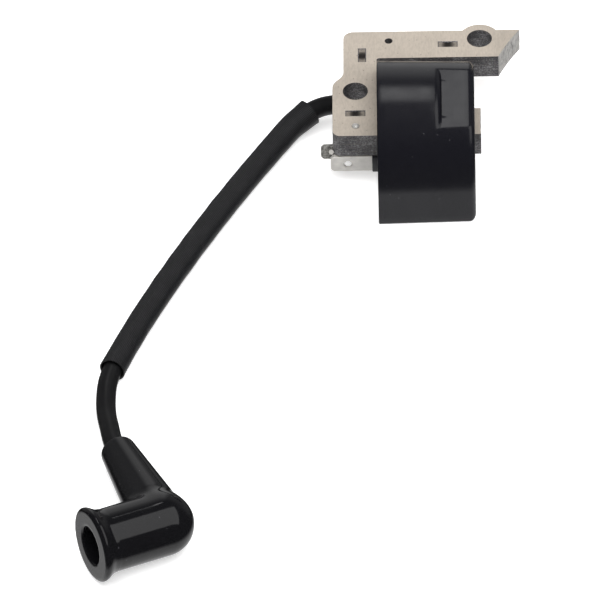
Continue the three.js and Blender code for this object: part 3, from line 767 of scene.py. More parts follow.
def frames_along(path):
    """A side and an up direction at each point, turning as little as they can."""
    ways = [(b - a).normalized() for a, b in zip(path, path[1:])]
    ways.append(ways[-1])
    side = ways[0].orthogonal().normalized()
    frames = []
    for way in ways:
        side = (side - way * side.dot(way)).normalized()
        frames.append((side, way.cross(side)))
    return frames


def poly_curve(name, points, r, sides=6):
    """A round wire through points in millimetres, on one open spline."""
    curve = bpy.data.curves.new(name, "CURVE")
    curve.dimensions = "3D"
    curve.bevel_depth = r * MM
    curve.bevel_resolution = sides
    curve.use_fill_caps = True
    spline = curve.splines.new("POLY")
    spline.points.add(len(points) - 1)
    for place, point in zip(spline.points, points):
        place.co = (*(point * MM), 1.0)
    return curve


# ------------------------------------------------------------------ core


def pole_x(y):
    return FLYWHEEL.x - math.sqrt(FLYWHEEL_R**2 - (y - FLYWHEEL.y) ** 2)


def pole_face(start, stop, steps):
    rows = [start + (stop - start) * i / steps for i in range(steps + 1)]
    return [(pole_x(y), y) for y in rows]


def sheet_outline():
    """One sheet, seen from above: a C that opens towards the flywheel."""
    x, y = HOLES[1]
    start = math.asin((ARM_BACK - y) / EAR_R)
    ear = [tuple(p) for p in arc(x, y, EAR_R, start, math.pi - start, 20)]
    return rounded([
        (BACK_LOWER, LEG_FRONT, 2.0),
        *pole_face(LEG_FRONT, LEG_BACK, 10),
        (BACK_INNER, LEG_BACK, 0.6),
        (BACK_INNER, ARM_FRONT, 0.6),
        *pole_face(ARM_FRONT, ARM_BACK, 12),
        *ear,
        (BACK_UPPER, ARM_BACK, 2.5),
        (BACK_UPPER, 9.9, 3.4),
        (BACK_LOWER, 6.6, 3.4),
    ])


def over_dimple(dimple, places):
    """Places (along, across, height) turned and moved to where a dimple lies."""
    x, y, turn = dimple
    spin = Matrix.Rotation(math.radians(turn), 3, "Z")
    return [spin @ Vector((a, b, 0.0)) + Vector((x, y, z)) for a, b, z in places]


def dimple_ring(dimple, grow, z):
    """The oblong of a dimple at a height, grown on every side."""
    half, side = DIMPLE_LONG / 2 + grow, DIMPLE_WIDE / 2 + grow
    corners = ((-half, -side), (half, -side), (half, side), (-half, side))
    return over_dimple(dimple, [(a, b, z) for a, b in corners])


def wedge_mesh(dimple, top, shrink):
    """A closed V prism. With no shrink it stands a little above the sheet, to cut it."""
    half, side = DIMPLE_LONG / 2 - shrink, DIMPLE_WIDE / 2 - shrink
    keel = top - DIMPLE_DEEP + shrink
    section = [(-half, top), (0.0, keel), (half, top)]
    if shrink == 0:
        section += [(half, top + 0.2), (-half, top + 0.2)]
    return loft("wedge", [
        over_dimple(dimple, [(along, across, z) for along, z in section])
        for across in (-side, side)
    ])


def lip_mesh(dimple, top, reach, sink):
    """A shallow funnel that rounds over the lips of a dimple."""
    levels = ((-0.1, 1.3), (0.0, 1.0), (0.45 * sink, 0.4), (sink, 0.0))
    return loft("lip", [dimple_ring(dimple, reach * grow, top - depth) for depth, grow in levels])


def slot_mesh(dimple, low, high):
    """An oblong prism that cuts a dimple right through a sheet."""
    return loft("slot", [dimple_ring(dimple, 0.0, z) for z in (low, high)])


def faced_by_side(mesh):
    """Material 0 on the rolled faces, 1 on the cut edges and 2 on the pole faces."""
    middle = FLYWHEEL.to_3d()
    for face in mesh.polygons:
        place = face.center / MM
        on_pole = abs((place - middle).xy.length - FLYWHEEL_R) < 0.12
        if abs(face.normal.z) < 0.95:
            face.material_index = 2 if on_pole and place.x > 0 else 1
    return mesh


def make_sheet(index, outline, holes, chamfer):
    """One sheet of the stack, with its interlocks."""
    low = CORE_LOW_Z + index * SHEET_THICK
    high = low + SHEET_THICK
    mesh = plate(SHEETS[index], outline, holes, "z", low, high, chamfer)
    last = len(SHEETS) - 1
    if index == 0:
        mesh = combined(mesh, [slot_mesh(d, low - 1, high + 1) for d in DIMPLES])
    else:
        cutters = [wedge_mesh(d, high, 0.0) for d in DIMPLES]
        if index == last:
            cutters += [lip_mesh(d, high, 0.22, 0.14) for d in DIMPLES]
        mesh = combined(mesh, cutters)
        keels = [wedge_mesh(d, low + 0.01, 0.08) for d in DIMPLES]
        mesh = combined(mesh, keels, "UNION")
    return faced_by_side(mesh)


# ------------------------------------------------------------------ housing


def cup_radius(x, inner):
    """The arch's radius at a place along the cup."""
    return (ARCH_R - CUP_DRAFT * (x - CUP_LOW.x)) - inner


def cup_ring(x, inner=0.0, pull=0.0, drop=0.0):
    """One section of the cup, from the middle of its underside right round.

    inner is how far it lies inside the cup's skin, pull is how far its rim is drawn in,
    and drop is how far the roof has fallen towards its flat.
    """
    r = cup_radius(x, inner) - pull
    low = inner + pull
    corner = max(0.25, 0.7 - inner)
    flat = ARCH_R - RECESS_DEEP - inner - pull
    wall = [low + corner + (ARCH_Z - low - corner) * i / 6 for i in range(1, 6)]
    points = [Vector(((r - corner) * i / 6, low)) for i in range(6)]
    points += arc(r - corner, low + corner, corner, -math.pi / 2, 0.0, 6)
    points += [Vector((r, z)) for z in wall]
    for i in range(181):
        angle = math.radians(i)
        reach = r
        lean = math.cos(angle - math.pi / 2 + RECESS_TILT)
        if drop > 0.0 and lean > 0.1:
            reach = max(r - drop, merged(r, flat / lean, 0.2))
        points.append(Vector((reach * math.cos(angle), ARCH_Z + reach * math.sin(angle))))
    points += [Vector((-r, z)) for z in reversed(wall)]
    points += arc(corner - r, low + corner, corner, math.pi, 1.5 * math.pi, 6)
    points += [Vector(((corner - r) * i / 6, low)) for i in range(5, 0, -1)]
    return [Vector((x, ARCH_Y - p.x, p.y)) for p in points]


def cup_rings(inner, end, end_round, rim_round, lip):
    """Sections from the closed end to the mouth, on the skin or inside it."""
    edge = RECESS_X - inner
    mouth = CUP_LOW.x
    deep = RECESS_DEEP + 1.0
    rings = []
    for i in range(9 if end_round else 1):
        a = math.radians(90 * i / 8)
        x = end - end_round * (1 - math.cos(a))
        rings.append(cup_ring(x, inner, end_round * (1 - math.sin(a)), deep))
    start = end - end_round
    for i in range(1, 6):
        rings.append(cup_ring(start + (edge - start) * i / 5, inner, 0.0, deep))
    for i in range(9):
        b = math.radians(90 * (1 - i / 8))
        x = edge - lip + lip * math.sin(b)
        rings.append(cup_ring(x, inner, 0.0, lip * (1 - math.cos(b))))
    start = edge - lip
    for i in range(1, 9):
        x = start + (mouth + rim_round - start) * i / 8
        rings.append(cup_ring(x, inner))
    for i in range(1, 4):
        a = math.radians(90 * i / 3)
        pull = rim_round * (1 - math.cos(a)) * (1 if inner == 0.0 else -1)
        rings.append(cup_ring(mouth + rim_round * (1 - math.sin(a)), inner, pull))
    return rings


def leg_window(grow, radius):
    """The loop of the hole that the leg comes through, in (y, z)."""
    half_y, half_z = LEG_HALF_Y + grow, LEG_HALF_Z + grow
    signs = ((-1, -1), (1, -1), (1, 1), (-1, 1))
    return rounded([
        (LEG_MIDDLE.y + sy * half_y, LEG_MIDDLE.z + sz * half_z, radius) for sy, sz in signs
    ])


def make_cup(end_round, lip):
    """The housing: an open cup with a window in its closed end."""
    end, inner_end = CUP_HIGH.x, CUP_HIGH.x - CUP_END_WALL
    outside = cup_rings(0.0, end, end_round, 0.3, lip)
    inside = cup_rings(CUP_WALL, inner_end, 0.0, 0.2, 0.4)
    rings = outside + list(reversed(inside))
    nicked(outside[-1])
    count = len(rings[0])
    points = [p for ring in rings for p in ring]
    faces = ring_faces(count, len(rings))
    window = [(end, 0.9), (end - 0.2, 0.7), (inner_end, 0.7)]
    starts = []
    for x, grow in window:
        starts.append(len(points))
        points += [Vector((x, p.x, p.y)) for p in leg_window(grow, grow - 0.4)]
    sides = starts[1] - starts[0]
    faces += ring_faces(sides, len(window), starts[0])
    for first, hole in ((0, starts[0]), (len(rings) * count - count, starts[-1])):
        loops = [range(first, first + count), range(hole, hole + sides)]
        flat = [[Vector((points[i].y, points[i].z, 0.0)) for i in loop] for loop in loops]
        index = [i for loop in loops for i in loop]
        faces += [tuple(index[i] for i in tri) for tri in tessellate_polygon(flat)]
    return mesh_from("cup_of_coil", points, faces)


def nicked(ring):
    """Leaves the moulded rim a little uneven, as it is where its flash was trimmed."""
    chance = random.Random(11)
    waves = [(chance.uniform(3, 40), chance.uniform(0, 6.3)) for _ in range(6)]
    for i, point in enumerate(ring):
        turn = 2 * math.pi * i / len(ring)
        swell = sum(math.sin(rate * turn + phase) for rate, phase in waves) / len(waves)
        point.x += 0.12 * max(0.0, swell)


# ------------------------------------------------------------------ terminals

TAB_LOW, TAB_HIGH = low_high("stop_tab")
COLLAR_LOW, COLLAR_HIGH = low_high("stop_tab_collar")
STRAP_LOW, STRAP_HIGH = low_high("earth_strap")
BARREL_LOW, BARREL_HIGH = low_high("crimp_barrel")
TAB_HOLE = (-18.8, 6.6, 0.95)
STRAP_THICK, STRAP_DROP = 0.5, 2.0
NICK_TURN = math.radians(115)


def make_tab(chamfer):
    """The flat stop tab: full height outside, and narrower where it enters the resin."""
    left, right = TAB_LOW.x, TAB_HIGH.x
    low, high = TAB_LOW.z, TAB_HIGH.z
    outline = rounded([
        (low, left, 0.9), (high, left, 0.9), (high, -11.0), (high - 1.5, -10.6),
        (high - 1.5, right), (low + 0.6, right), (low + 0.6, -10.6), (low, -11.0),
    ])
    outline.reverse()
    hole = circle(TAB_HOLE[1], TAB_HOLE[0], TAB_HOLE[2], 40)
    return plate("stop_terminal", outline, [hole], "y", TAB_LOW.y, TAB_HIGH.y, chamfer)


def make_collar():
    """The moulded collar that the tab passes through."""
    low, high = COLLAR_LOW, COLLAR_HIGH
    outline = rounded([
        (low.y, low.z, 0.3), (high.y, low.z, 0.3), (high.y, high.z, 0.3), (low.y, high.z, 0.3),
    ])
    y0, y1 = TAB_LOW.y - 0.08, TAB_HIGH.y + 0.08
    z0, z1 = TAB_LOW.z - 0.08, TAB_HIGH.z + 0.08
    slot = [Vector(p) for p in ((y0, z0), (y1, z0), (y1, z1), (y0, z1))]
    return plate("tab_collar", outline, [slot], "x", low.x, high.x, 0.12)


def make_strap(chamfer):
    """The earth strap: riveted under the core, and stepped down into the resin."""
    top = STRAP_HIGH.z
    low = top - STRAP_THICK
    left, right = STRAP_LOW.x, STRAP_HIGH.x
    outline = rounded([
        (low, left), (low, -13.0, 0.6), (low - STRAP_DROP, -11.6, 1.0),
        (low - STRAP_DROP, right), (top - STRAP_DROP, right), (top - STRAP_DROP, -11.4, 0.6),
        (top, -12.8, 1.0), (top, left),
    ])
    outline.reverse()
    mesh = plate("earth_tongue", outline, [], "y", STRAP_LOW.y, STRAP_HIGH.y, chamfer)
    x, y = PIN_HOLES[0]
    r = PIN_HOLE_R + 0.03
    drill = lathe("drill", [(0.0, -2.0), (r, -2.0), (r, 2.0), (0.0, 2.0)], 32)
    return combined(mesh, [stood_up(drill, x, y, top)])


def make_rivet():
    """A solid rivet: a flat head below the strap and a domed end level with the core."""
    x, y = PIN_HOLES[0]
    stack = CORE_HIGH_Z - CORE_LOW_Z
    profile = [
        (0.0, -1.3), (1.4, -1.3), (1.68, -1.24), (1.86, -1.05), (1.9, -0.9), (1.9, -0.6),
        (1.84, -0.55), (0.95, -0.55), (0.95, stack + 0.02), (0.9, stack + 0.16),
        (0.74, stack + 0.27), (0.5, stack + 0.33), (0.25, stack + 0.35), (0.0, stack + 0.35),
    ]
    return stood_up(lathe("earth_pin", profile, 48), x, y, CORE_LOW_Z)


def make_barrel():
    """The strap's rolled end, serrated along its length, with its outer corners broken."""
    middle = (BARREL_LOW + BARREL_HIGH) / 2
    r = (BARREL_HIGH.z - BARREL_LOW.z) / 2
    left, right = BARREL_LOW.x, BARREL_HIGH.x
    teeth, sides = 16, 16 * 8
    steps = [(left, 0.62), (left + 0.12, 0.52), (left + 0.55, 0.12), (left + 0.75, 0.0)]
    for i in range(1, 9):
        steps.append((left + 0.75 + (right - left - 0.9) * i / 8, 0.0))
    steps.append((right, 0.15))
    rings = []
    for k, (x, pull) in enumerate(steps):
        ring = []
        for i in range(sides):
            a = 2 * math.pi * i / sides
            tooth = 0.13 * (0.5 - 0.5 * math.cos(a * teeth)) ** 0.5
            nick = 0.3 * (k % 2) * math.exp(-(((a - NICK_TURN) / 0.3) ** 2)) if k > 3 else 0.0
            reach = r - pull - tooth - nick
            y, z = middle.y + reach * math.cos(a), middle.z + reach * math.sin(a)
            ring.append(Vector((x, y, z)))
        rings.append(ring)
    ends = [(0.0, left - 1), (0.8, left - 1), (0.8, right + 1), (0.0, right + 1)]
    bore = lathe("bore", ends, 32)
    bore.transform(Matrix.Translation(Vector((0.0, middle.y, middle.z)) * MM))
    return combined(loft("crimped_end", rings), [bore])


def make_wire_end():
    """The stray end of the earth wire, out of the barrel and up beside it."""
    right = BARREL_HIGH.x
    y, z = (BARREL_LOW.y + BARREL_HIGH.y) / 2, (BARREL_LOW.z + BARREL_HIGH.z) / 2
    corners = [
        (right + 0.5, y + 0.6, z), (right + 0.5, y - 0.5, z), (right + 0.4, y - 2.1, z + 0.3),
        (right - 0.3, y - 2.3, z + 1.3), (right - 0.9, y - 2.5, z + 2.3),
        (right - 0.7, y - 3.7, z + 3.3),
    ]
    curve = poly_curve("bare_wire_end", smooth_path([Vector(c) for c in corners], 8), 0.42)
    for place in list(curve.splines[0].points)[-4:]:
        place.radius = 1.45
    return curve


# ------------------------------------------------------------------ plug boot

BARREL_PROFILE = [
    *[(-BARREL_R * math.cos(math.radians(a)), BARREL_R * math.sin(math.radians(a)))
      for a in range(0, 91, 5)],
    (14.8, BARREL_R), (15.0, BARREL_R + 0.06), (15.8, BARREL_R + 0.18), (16.5, BARREL_R + 0.42),
    (17.2, BARREL_R + 0.84), (17.9, BARREL_R + 1.27), (18.3, FLANGE_R - 0.08),
    (18.7, FLANGE_R), (19.0, FLANGE_R - 0.05), (19.35, FLANGE_R - 0.3), (19.6, FLANGE_R - 0.7),
]
NECK_PROFILE = [
    (-1.0, NECK_ROOT_R), (8.0, NECK_ROOT_R), (NECK_LONG - 1.0, NECK_END_R + 0.04),
    (NECK_LONG - 0.45, NECK_END_R - 0.05), (NECK_LONG - 0.12, NECK_END_R - 0.35),
    (NECK_LONG, NECK_END_R - 0.7),
]
MOUTH_PROFILE = [
    (-1.0, HOLLOW_R), (BARREL_LONG - MOUTH_DEEP, HOLLOW_R),
    (BARREL_LONG - MOUTH_DEEP + 1.0, MOUTH_R), (BARREL_LONG + 2.0, MOUTH_R),
]
BORE_PROFILE = [(-1.0, NECK_BORE_R), (NECK_LONG + 2.0, NECK_BORE_R)]


def turned_distance(places, way, profile):
    """How far places lie outside a body turned about a line through the elbow."""
    along = places @ np.array(way)
    out = np.linalg.norm(places - along[:, None] * np.array(way), axis=1)
    ends = np.array([(profile[0][0], 0.0), *profile, (profile[-1][0], 0.0)])
    best = np.full(len(places), 1e9)
    for a, b in zip(ends, ends[1:]):
        edge = b - a
        long = max(edge @ edge, 1e-12)
        share = np.clip(((along - a[0]) * edge[0] + (out - a[1]) * edge[1]) / long, 0, 1)
        gap = np.hypot(along - a[0] - share * edge[0], out - a[1] - share * edge[1])
        best = np.minimum(best, gap)
    skin = np.interp(along, ends[:, 0], ends[:, 1], left=-1.0, right=-1.0)
    return np.where(out < skin, -best, best)


def boot_distance(places, fillet):
    """How far places in the boot's own axes lie outside its rubber."""
    across = (1.0, 0.0, 0.0)
    barrel = turned_distance(places, across, BARREL_PROFILE)
    neck = turned_distance(places, NECK_WAY, NECK_PROFILE)
    skin = merged(barrel, neck, fillet)
    mouth = turned_distance(places, across, MOUTH_PROFILE)
    hollow = np.linalg.norm(places, axis=1) - HOLLOW_R
    bore = turned_distance(places, NECK_WAY, BORE_PROFILE)
    empty = np.minimum(np.minimum(mouth, hollow), bore)
    return -merged(-skin, empty, 0.5)


def settled(mesh, distance, rounds=4):
    """Moves every vertex onto the surface where the distance is nought."""
    flat = np.empty(len(mesh.vertices) * 3, np.float32)
    mesh.vertices.foreach_get("co", flat)
    places = flat.reshape(-1, 3).astype(float) / MM
    step = 0.02
    for _ in range(rounds):
        gap = distance(places)
        slope = np.stack([
            (distance(places + step * e) - distance(places - step * e)) / (2 * step)
            for e in np.eye(3)
        ], axis=1)
        steep = np.maximum((slope**2).sum(axis=1), 0.3)
        places -= slope * (gap / steep)[:, None]
    mesh.vertices.foreach_set("co", (places * MM).astype(np.float32).ravel())
    mesh.update()
    return mesh


def make_boot(fillet, voxel):
    """The boot in its own axes: turned bodies joined, hollowed and faired together."""
    tilt = Matrix.Rotation(NECK_ANGLE, 4, "Z")

    def solid(name, profile, sides, turn=None):
        ends = [(0.0, profile[0][0]), *[(r, x) for x, r in profile], (0.0, profile[-1][0])]
        mesh = lathe(name, ends, sides)
        if turn:
            mesh.transform(turn)
        return mesh

    body = solid("rubber_boot", BARREL_PROFILE, 64)
    body = combined(body, [solid("neck", NECK_PROFILE, 56, tilt)], "UNION")
    ball = [(-HOLLOW_R * math.cos(math.radians(a)), HOLLOW_R * math.sin(math.radians(a)))
            for a in range(0, 181, 15)]
    tools = [
        solid("mouth", MOUTH_PROFILE, 48),
        solid("hollow", ball, 48),
        solid("bore", BORE_PROFILE, 40, tilt),
    ]
    body = combined(body, tools)
    thing = bpy.data.objects.new("blank", body)
    bpy.context.scene.collection.objects.link(thing)
    step = thing.modifiers.new("fair", "REMESH")
    step.mode = "VOXEL"
    step.voxel_size = voxel * MM
    mesh = applied(thing)
    bpy.data.objects.remove(thing)
    mesh.name = "rubber_boot"
    return settled(mesh, lambda places: boot_distance(places, fillet))


def clip_points():
    """The contact: a coil spring in the boot, its tail turned up into the lead."""
    turns, pitch, r = 4, 1.35, 3.2
    points = []
    for i in range(161):
        share = i / 160
        angle = -math.pi / 2 + 2 * math.pi * turns * (share - 1)
        along = pitch * turns * (1 - share)
        points.append(Vector((along, r * math.sin(angle), r * math.cos(angle))))
    for i in range(1, 13):
        points.append(NECK_WAY * (r + (LEAD_STOP + 3.0 - r) * i / 12))
    return points


# ------------------------------------------------------------------ sleeve


def sleeve_radii(run, total):
    """The sleeve's outer radius at a distance along it: it is spread at both its ends."""
    ends = zip(SLEEVE_FLARES, (run, total - run))
    return SLEEVE_R + sum(grow * math.exp(-gap / fade) for (grow, fade), gap in ends)


def relaxed(points, radii, rounds=500):
    """The sleeve's own middle: as straight as its slack on the lead lets it lie."""
    lead = np.array([tuple(p) for p in points])
    slack = np.array(radii)[:, None] - SLEEVE_WALL - LEAD_R - 0.03
    places = lead.copy()
    for _ in range(rounds):
        places[1:-1] = (places[:-2] + places[2:]) / 2
        places[0] = 2 * places[1] - places[2]
        places[-1] = 2 * places[-2] - places[-3]
        away = places - lead
        far = np.linalg.norm(away, axis=1)[:, None]
        places = lead + away * np.minimum(1.0, slack / np.maximum(far, 1e-9))
    return [Vector(p) for p in places]


def make_sleeve(path, pitch):
    """The woven sleeve: a soft tube, a little uneven, and cut off square at both ends."""
    points = stretch_of(path, SLEEVE_FROM, SLEEVE_TO, 260)
    step = (points[1] - points[0]).length
    last = len(points) - 1
    radii = [sleeve_radii(j * step, last * step) for j in range(last + 1)]
    points = relaxed(points, radii)
    frames = frames_along(points)
    sides = 72
    yarns = round(2 * math.pi * SLEEVE_R / pitch)
    chance = random.Random(5)
    waves = [
        (chance.randint(1, 4), chance.uniform(0.15, 0.9), chance.uniform(0, 6.3))
        for _ in range(7)
    ]
    shells = {0.0: [], SLEEVE_WALL: []}
    for j, (centre, (side, up)) in enumerate(zip(points, frames)):
        for depth, rings in shells.items():
            ring = []
            for i in range(sides):
                a = 2 * math.pi * i / sides
                swell = sum(math.sin(n * a + rate * j * step + phase) for n, rate, phase in waves)
                reach = radii[j] - depth + 0.012 * swell
                ring.append(centre + (side * math.cos(a) + up * math.sin(a)) * reach)
            rings.append(ring)
    rings = shells[0.0] + shells[SLEEVE_WALL][::-1]
    faces, charts = [], []
    for j in range(len(rings)):
        below = (j + 1) % len(rings)
        for i in range(sides):
            k = (i + 1) % sides
            faces.append((j * sides + i, j * sides + k, below * sides + k, below * sides + i))
            u0, u1 = yarns * i / sides, yarns * (i + 1) / sides
            v0, v1 = j * step / pitch, (j + 1) * step / pitch
            charts += [(u0, v0), (u1, v0), (u1, v1), (u0, v1)]
    mesh = bpy.data.meshes.new("woven_sleeve")
    mesh.from_pydata([p * MM for ring in rings for p in ring], [], faces)
    braid = mesh.attributes.new("braid", "FLOAT_VECTOR", "CORNER")
    braid.data.foreach_set("vector", [c for u, v in charts for c in (u, v, 0.0)])
    return mesh


# ------------------------------------------------------------------ inner pieces

INNER_FINISHES = {
    poured_epoxy: ("potting_resin",),
    natural_nylon: ("primary_bobbin", "secondary_bobbin"),
    enamelled_copper_wire: (
        "primary_winding", "secondary_winding_1", "secondary_winding_2", "secondary_winding_3",
        "secondary_winding_4", "ht_wire",
    ),
    glass_epoxy_board: ("circuit_board",),
    moulded_epoxy_body: (
        "power_transistor", "driver_transistor", "timing_resistor_1", "timing_resistor_2",
        "clamp_diode",
    ),
    fired_ceramic: ("timing_capacitor",),
    tin_plated_steel: ("earth_lead_wire", "stop_lead_wire", "ht_contact_pin"),
}

# ------------------------------------------------------------------ settings


def size_property(name, description, millimetres):
    """A length that the user may change, kept in metres."""
    return bpy.props.FloatProperty(
        name=name, description=description, default=millimetres * MM,
        min=0.0, precision=5, unit="LENGTH",
    )


def colour_property(name, description, hex_colour):
    return bpy.props.FloatVectorProperty(
        name=name, description=description, default=linear(hex_colour),
        size=4, min=0.0, max=1.0, subtype="COLOR",
    )


class CoilSizes(bpy.types.PropertyGroup):
    """Sizes of the edges and patterns that the CAD leaves open."""

    sheet_chamfer: size_property("Sheet Chamfer", "Break on the edges of each core sheet", 0.025)
    metal_chamfer: size_property("Metal Chamfer", "Break on the edges of the terminals", 0.12)
    cup_round: size_property("Housing Rounding", "Radius round the housing's closed end", 1.6)
    recess_lip: size_property("Recess Lip", "Radius where the roof drops to its flat", 1.8)
    boot_fillet: size_property("Boot Fillet", "Fillet where the boot's neck meets it", 2.2)
    boot_voxel: size_property("Boot Fineness", "Side of the boot's mesh faces", 0.36)
    braid_pitch: size_property("Braid Pitch", "Spacing of the sleeve's yarns", 0.8)


class CoilColours(bpy.types.PropertyGroup):
    """Colours of the finishes that show."""

    core_face: colour_property("Core Face", "Lacquer on the rolled steel", "#E9DDCE")
    core_edge: colour_property("Core Edge", "Cut edges of the sheets", "#3A393A")
    housing: colour_property("Housing", "Moulded polyester", "#141419")
    tin: colour_property("Tin", "Plating on the terminals", "#CDCAC5")
    lead: colour_property("Lead", "Silicone jacket of the lead", "#141415")
    sleeve: colour_property("Sleeve", "Varnished glass braid", "#0B0B0C")
    boot: colour_property("Boot", "Moulded rubber", "#111113")
    table: colour_property("Table", "White table top", "#F4F4F4")
    table_glow: bpy.props.FloatProperty(
        name="Table Glow", description="Light that the table gives off", default=0.6, min=0.0
    )


# ------------------------------------------------------------------ stage, in metres

CAMERA_LENS, CAMERA_SENSOR = 702.0, 36.0
CAMERA_PLACE = (0.0121, -2.1801, 2.0741)
CAMERA_RIGHT = Vector((0.99977, -0.0003, -0.0212)).normalized()
CAMERA_AHEAD = Vector((-0.0146, 0.7155, -0.6984)).normalized()
TABLE_HALF = 3.0

# Each lamp's name, aim, way to it and its distance, long side's way, size, radiance, and
# whether it shows in gloss.
LAMPS = (
    ("rear_softbox", (0.0, 0.0, 0.0), (0.0, 0.42, 0.91), 2.3, (0.0, 1.0, -0.46), (0.5, 1.0),
     2.0, True),
    ("side_softbox", (-0.075, -0.145, 0.0), (0.63, -0.1, 0.77), 1.1, (0.41, -0.9, -0.33),
     (0.85, 1.2), 1.0, True),
    ("fill", (-0.03, -0.05, 0.0), (0.0, -0.25, 0.97), 2.3, (0.0, 1.0, 0.25), (2.6, 2.6),
     4.2, False),
)


def studio_air():
    """The room: dark ahead, a pale wall behind the table, and the table's own white below."""
    world = bpy.data.worlds.new("studio")
    world.use_nodes = True
    tree = world.node_tree
    tree.nodes.clear()
    way = add_node(tree, PLACES).outputs["Generated"]
    parts = add_node(tree, SPLIT, {"Vector": way})
    across, depth, height = (
        add_node(tree, MATHS, {0: parts.outputs[i], 1: 0.5, 2: 0.5}, operation="MULTIPLY_ADD")
        for i in ("X", "Y", "Z")
    )
    table = add_node(tree, RAMP, {"Fac": height}, ((0.15, grey(0.75)), (0.235, grey(0.0))))
    wall = ((0.3, grey(0.0)), (0.38, grey(1.0)), (0.7, grey(1.0)), (0.78, grey(0.45)),
            (0.86, grey(0.0)))
    wall = add_node(tree, RAMP, {"Fac": height}, wall)
    fades = (
        (depth, ((0.72, grey(0.0)), (0.85, grey(0.5)))),
        (across, ((0.35, grey(0.3)), (0.45, grey(1.0)), (0.54, grey(1.0)), (0.6, grey(0.25)))),
    )
    for place, steps in fades:
        fade = add_node(tree, RAMP, {"Fac": place}, steps)
        wall = add_node(
            tree, MIX, {FACTOR: 1.0, FIRST: wall, SECOND: fade},
            data_type="RGBA", blend_type="MULTIPLY",
        )
    light = table
    for more in (wall, grey(0.02)):
        light = add_node(
            tree, MIX, {FACTOR: 1.0, FIRST: light, SECOND: more},
            data_type="RGBA", blend_type="ADD",
        )
    air = add_node(tree, "ShaderNodeBackground", {"Color": light, "Strength": 1.0})
    add_node(tree, "ShaderNodeOutputWorld", {"Surface": air})
    return world


# ------------------------------------------------------------------ operators


class MakeStage(bpy.types.Operator):
    """Set up the camera, the soft lights and the white table"""

    bl_idname = "coil.make_stage"
    bl_label = "Make Stage"

    def execute(self, context):
        scene = context.scene
        data = bpy.data.cameras.new("coil_camera")
        data.lens, data.sensor_width = CAMERA_LENS, CAMERA_SENSOR
        data.clip_start, data.clip_end = 0.1, 20.0
        camera = bpy.data.objects.new("coil_camera", data)
        scene.collection.objects.link(camera)
        up = CAMERA_RIGHT.cross(CAMERA_AHEAD).normalized()
        axes = Matrix((CAMERA_RIGHT, up, -CAMERA_AHEAD)).transposed().to_4x4()
        camera.matrix_world = Matrix.Translation(CAMERA_PLACE) @ axes
        scene.camera = camera

        table = bpy.data.meshes.new("table")
        half = TABLE_HALF
        corners = ((-half, -half), (half, -half), (half, half), (-half, half))
        table.from_pydata([(x, y, 0.0) for x, y in corners], [], [(0, 1, 2, 3)])
        floor = bpy.data.objects.new("table", table)
        scene.collection.objects.link(floor)
        table.materials.append(made_of(white_table, scene.coil_colours))
        floor.visible_glossy = False
        scene.world = studio_air()
        scene.view_settings.view_transform = "Standard"

        for name, aim, way, distance, along, size, radiance, glossy in LAMPS:
            light = bpy.data.lights.new(name, "AREA")
            light.shape = "RECTANGLE"
            light.size, light.size_y = size
            light.energy = radiance * math.pi * size[0] * size[1]
            lamp = bpy.data.objects.new(name, light)
            scene.collection.objects.link(lamp)
            back = Vector(way).normalized()
            side = Vector(along).cross(back).normalized()
            turn = Matrix((side, back.cross(side), back)).transposed().to_4x4()
            lamp.matrix_world = Matrix.Translation(Vector(aim) + back * distance) @ turn
            lamp.visible_glossy = glossy
        return {"FINISHED"}


class MakeLead(bpy.types.Operator):
    """Make the high-tension lead and the woven sleeve on it"""

    bl_idname = "coil.make_lead"
    bl_label = "Make Lead"

    def execute(self, context):
        colours, sizes = context.scene.coil_colours, context.scene.coil_sizes
        path = lead_path()
        jacket = made_of(extruded_silicone, colours)
        lead = poly_curve("ht_cable", path, LEAD_R, 10)
        placed("ht_cable", lead, [jacket], "ht_lead")
        sleeve = softened(make_sleeve(path, sizes.braid_pitch / MM), 60.0)
        weave = made_of(varnished_glass_braid, colours)
        placed("woven_sleeve", sleeve, [weave], "lead_sleeve")
        return {"FINISHED"}


class MakeBoot(bpy.types.Operator):
    """Make the rubber plug boot and the contact spring in it"""

    bl_idname = "coil.make_boot"
    bl_label = "Make Plug Boot"

    def execute(self, context):
        colours, sizes = context.scene.coil_colours, context.scene.coil_sizes
        mesh = make_boot(sizes.boot_fillet / MM, sizes.boot_voxel / MM)
        mesh.transform(boot_matrix())
        mesh.shade_smooth()
        rubber = made_of(moulded_rubber, colours)
        placed("rubber_boot", mesh, [rubber], "plug_boot", BOOT_BODY)
        turned = [boot_matrix() @ (p * MM) / MM for p in clip_points()]
        spring = poly_curve("contact_spring", turned, 0.4, 4)
        steel = made_of(bright_spring_wire, colours)
        placed("contact_spring", spring, [steel], "plug_clip", BOOT_BODY)
        return {"FINISHED"}


class DeclareLead(bpy.types.Operator):
    """Does nothing: the lead's length and ends are not stated"""

    bl_idname = "coil.declare_lead"
    bl_label = "Declare Lead"

    def execute(self, context):
        return {"FINISHED"}


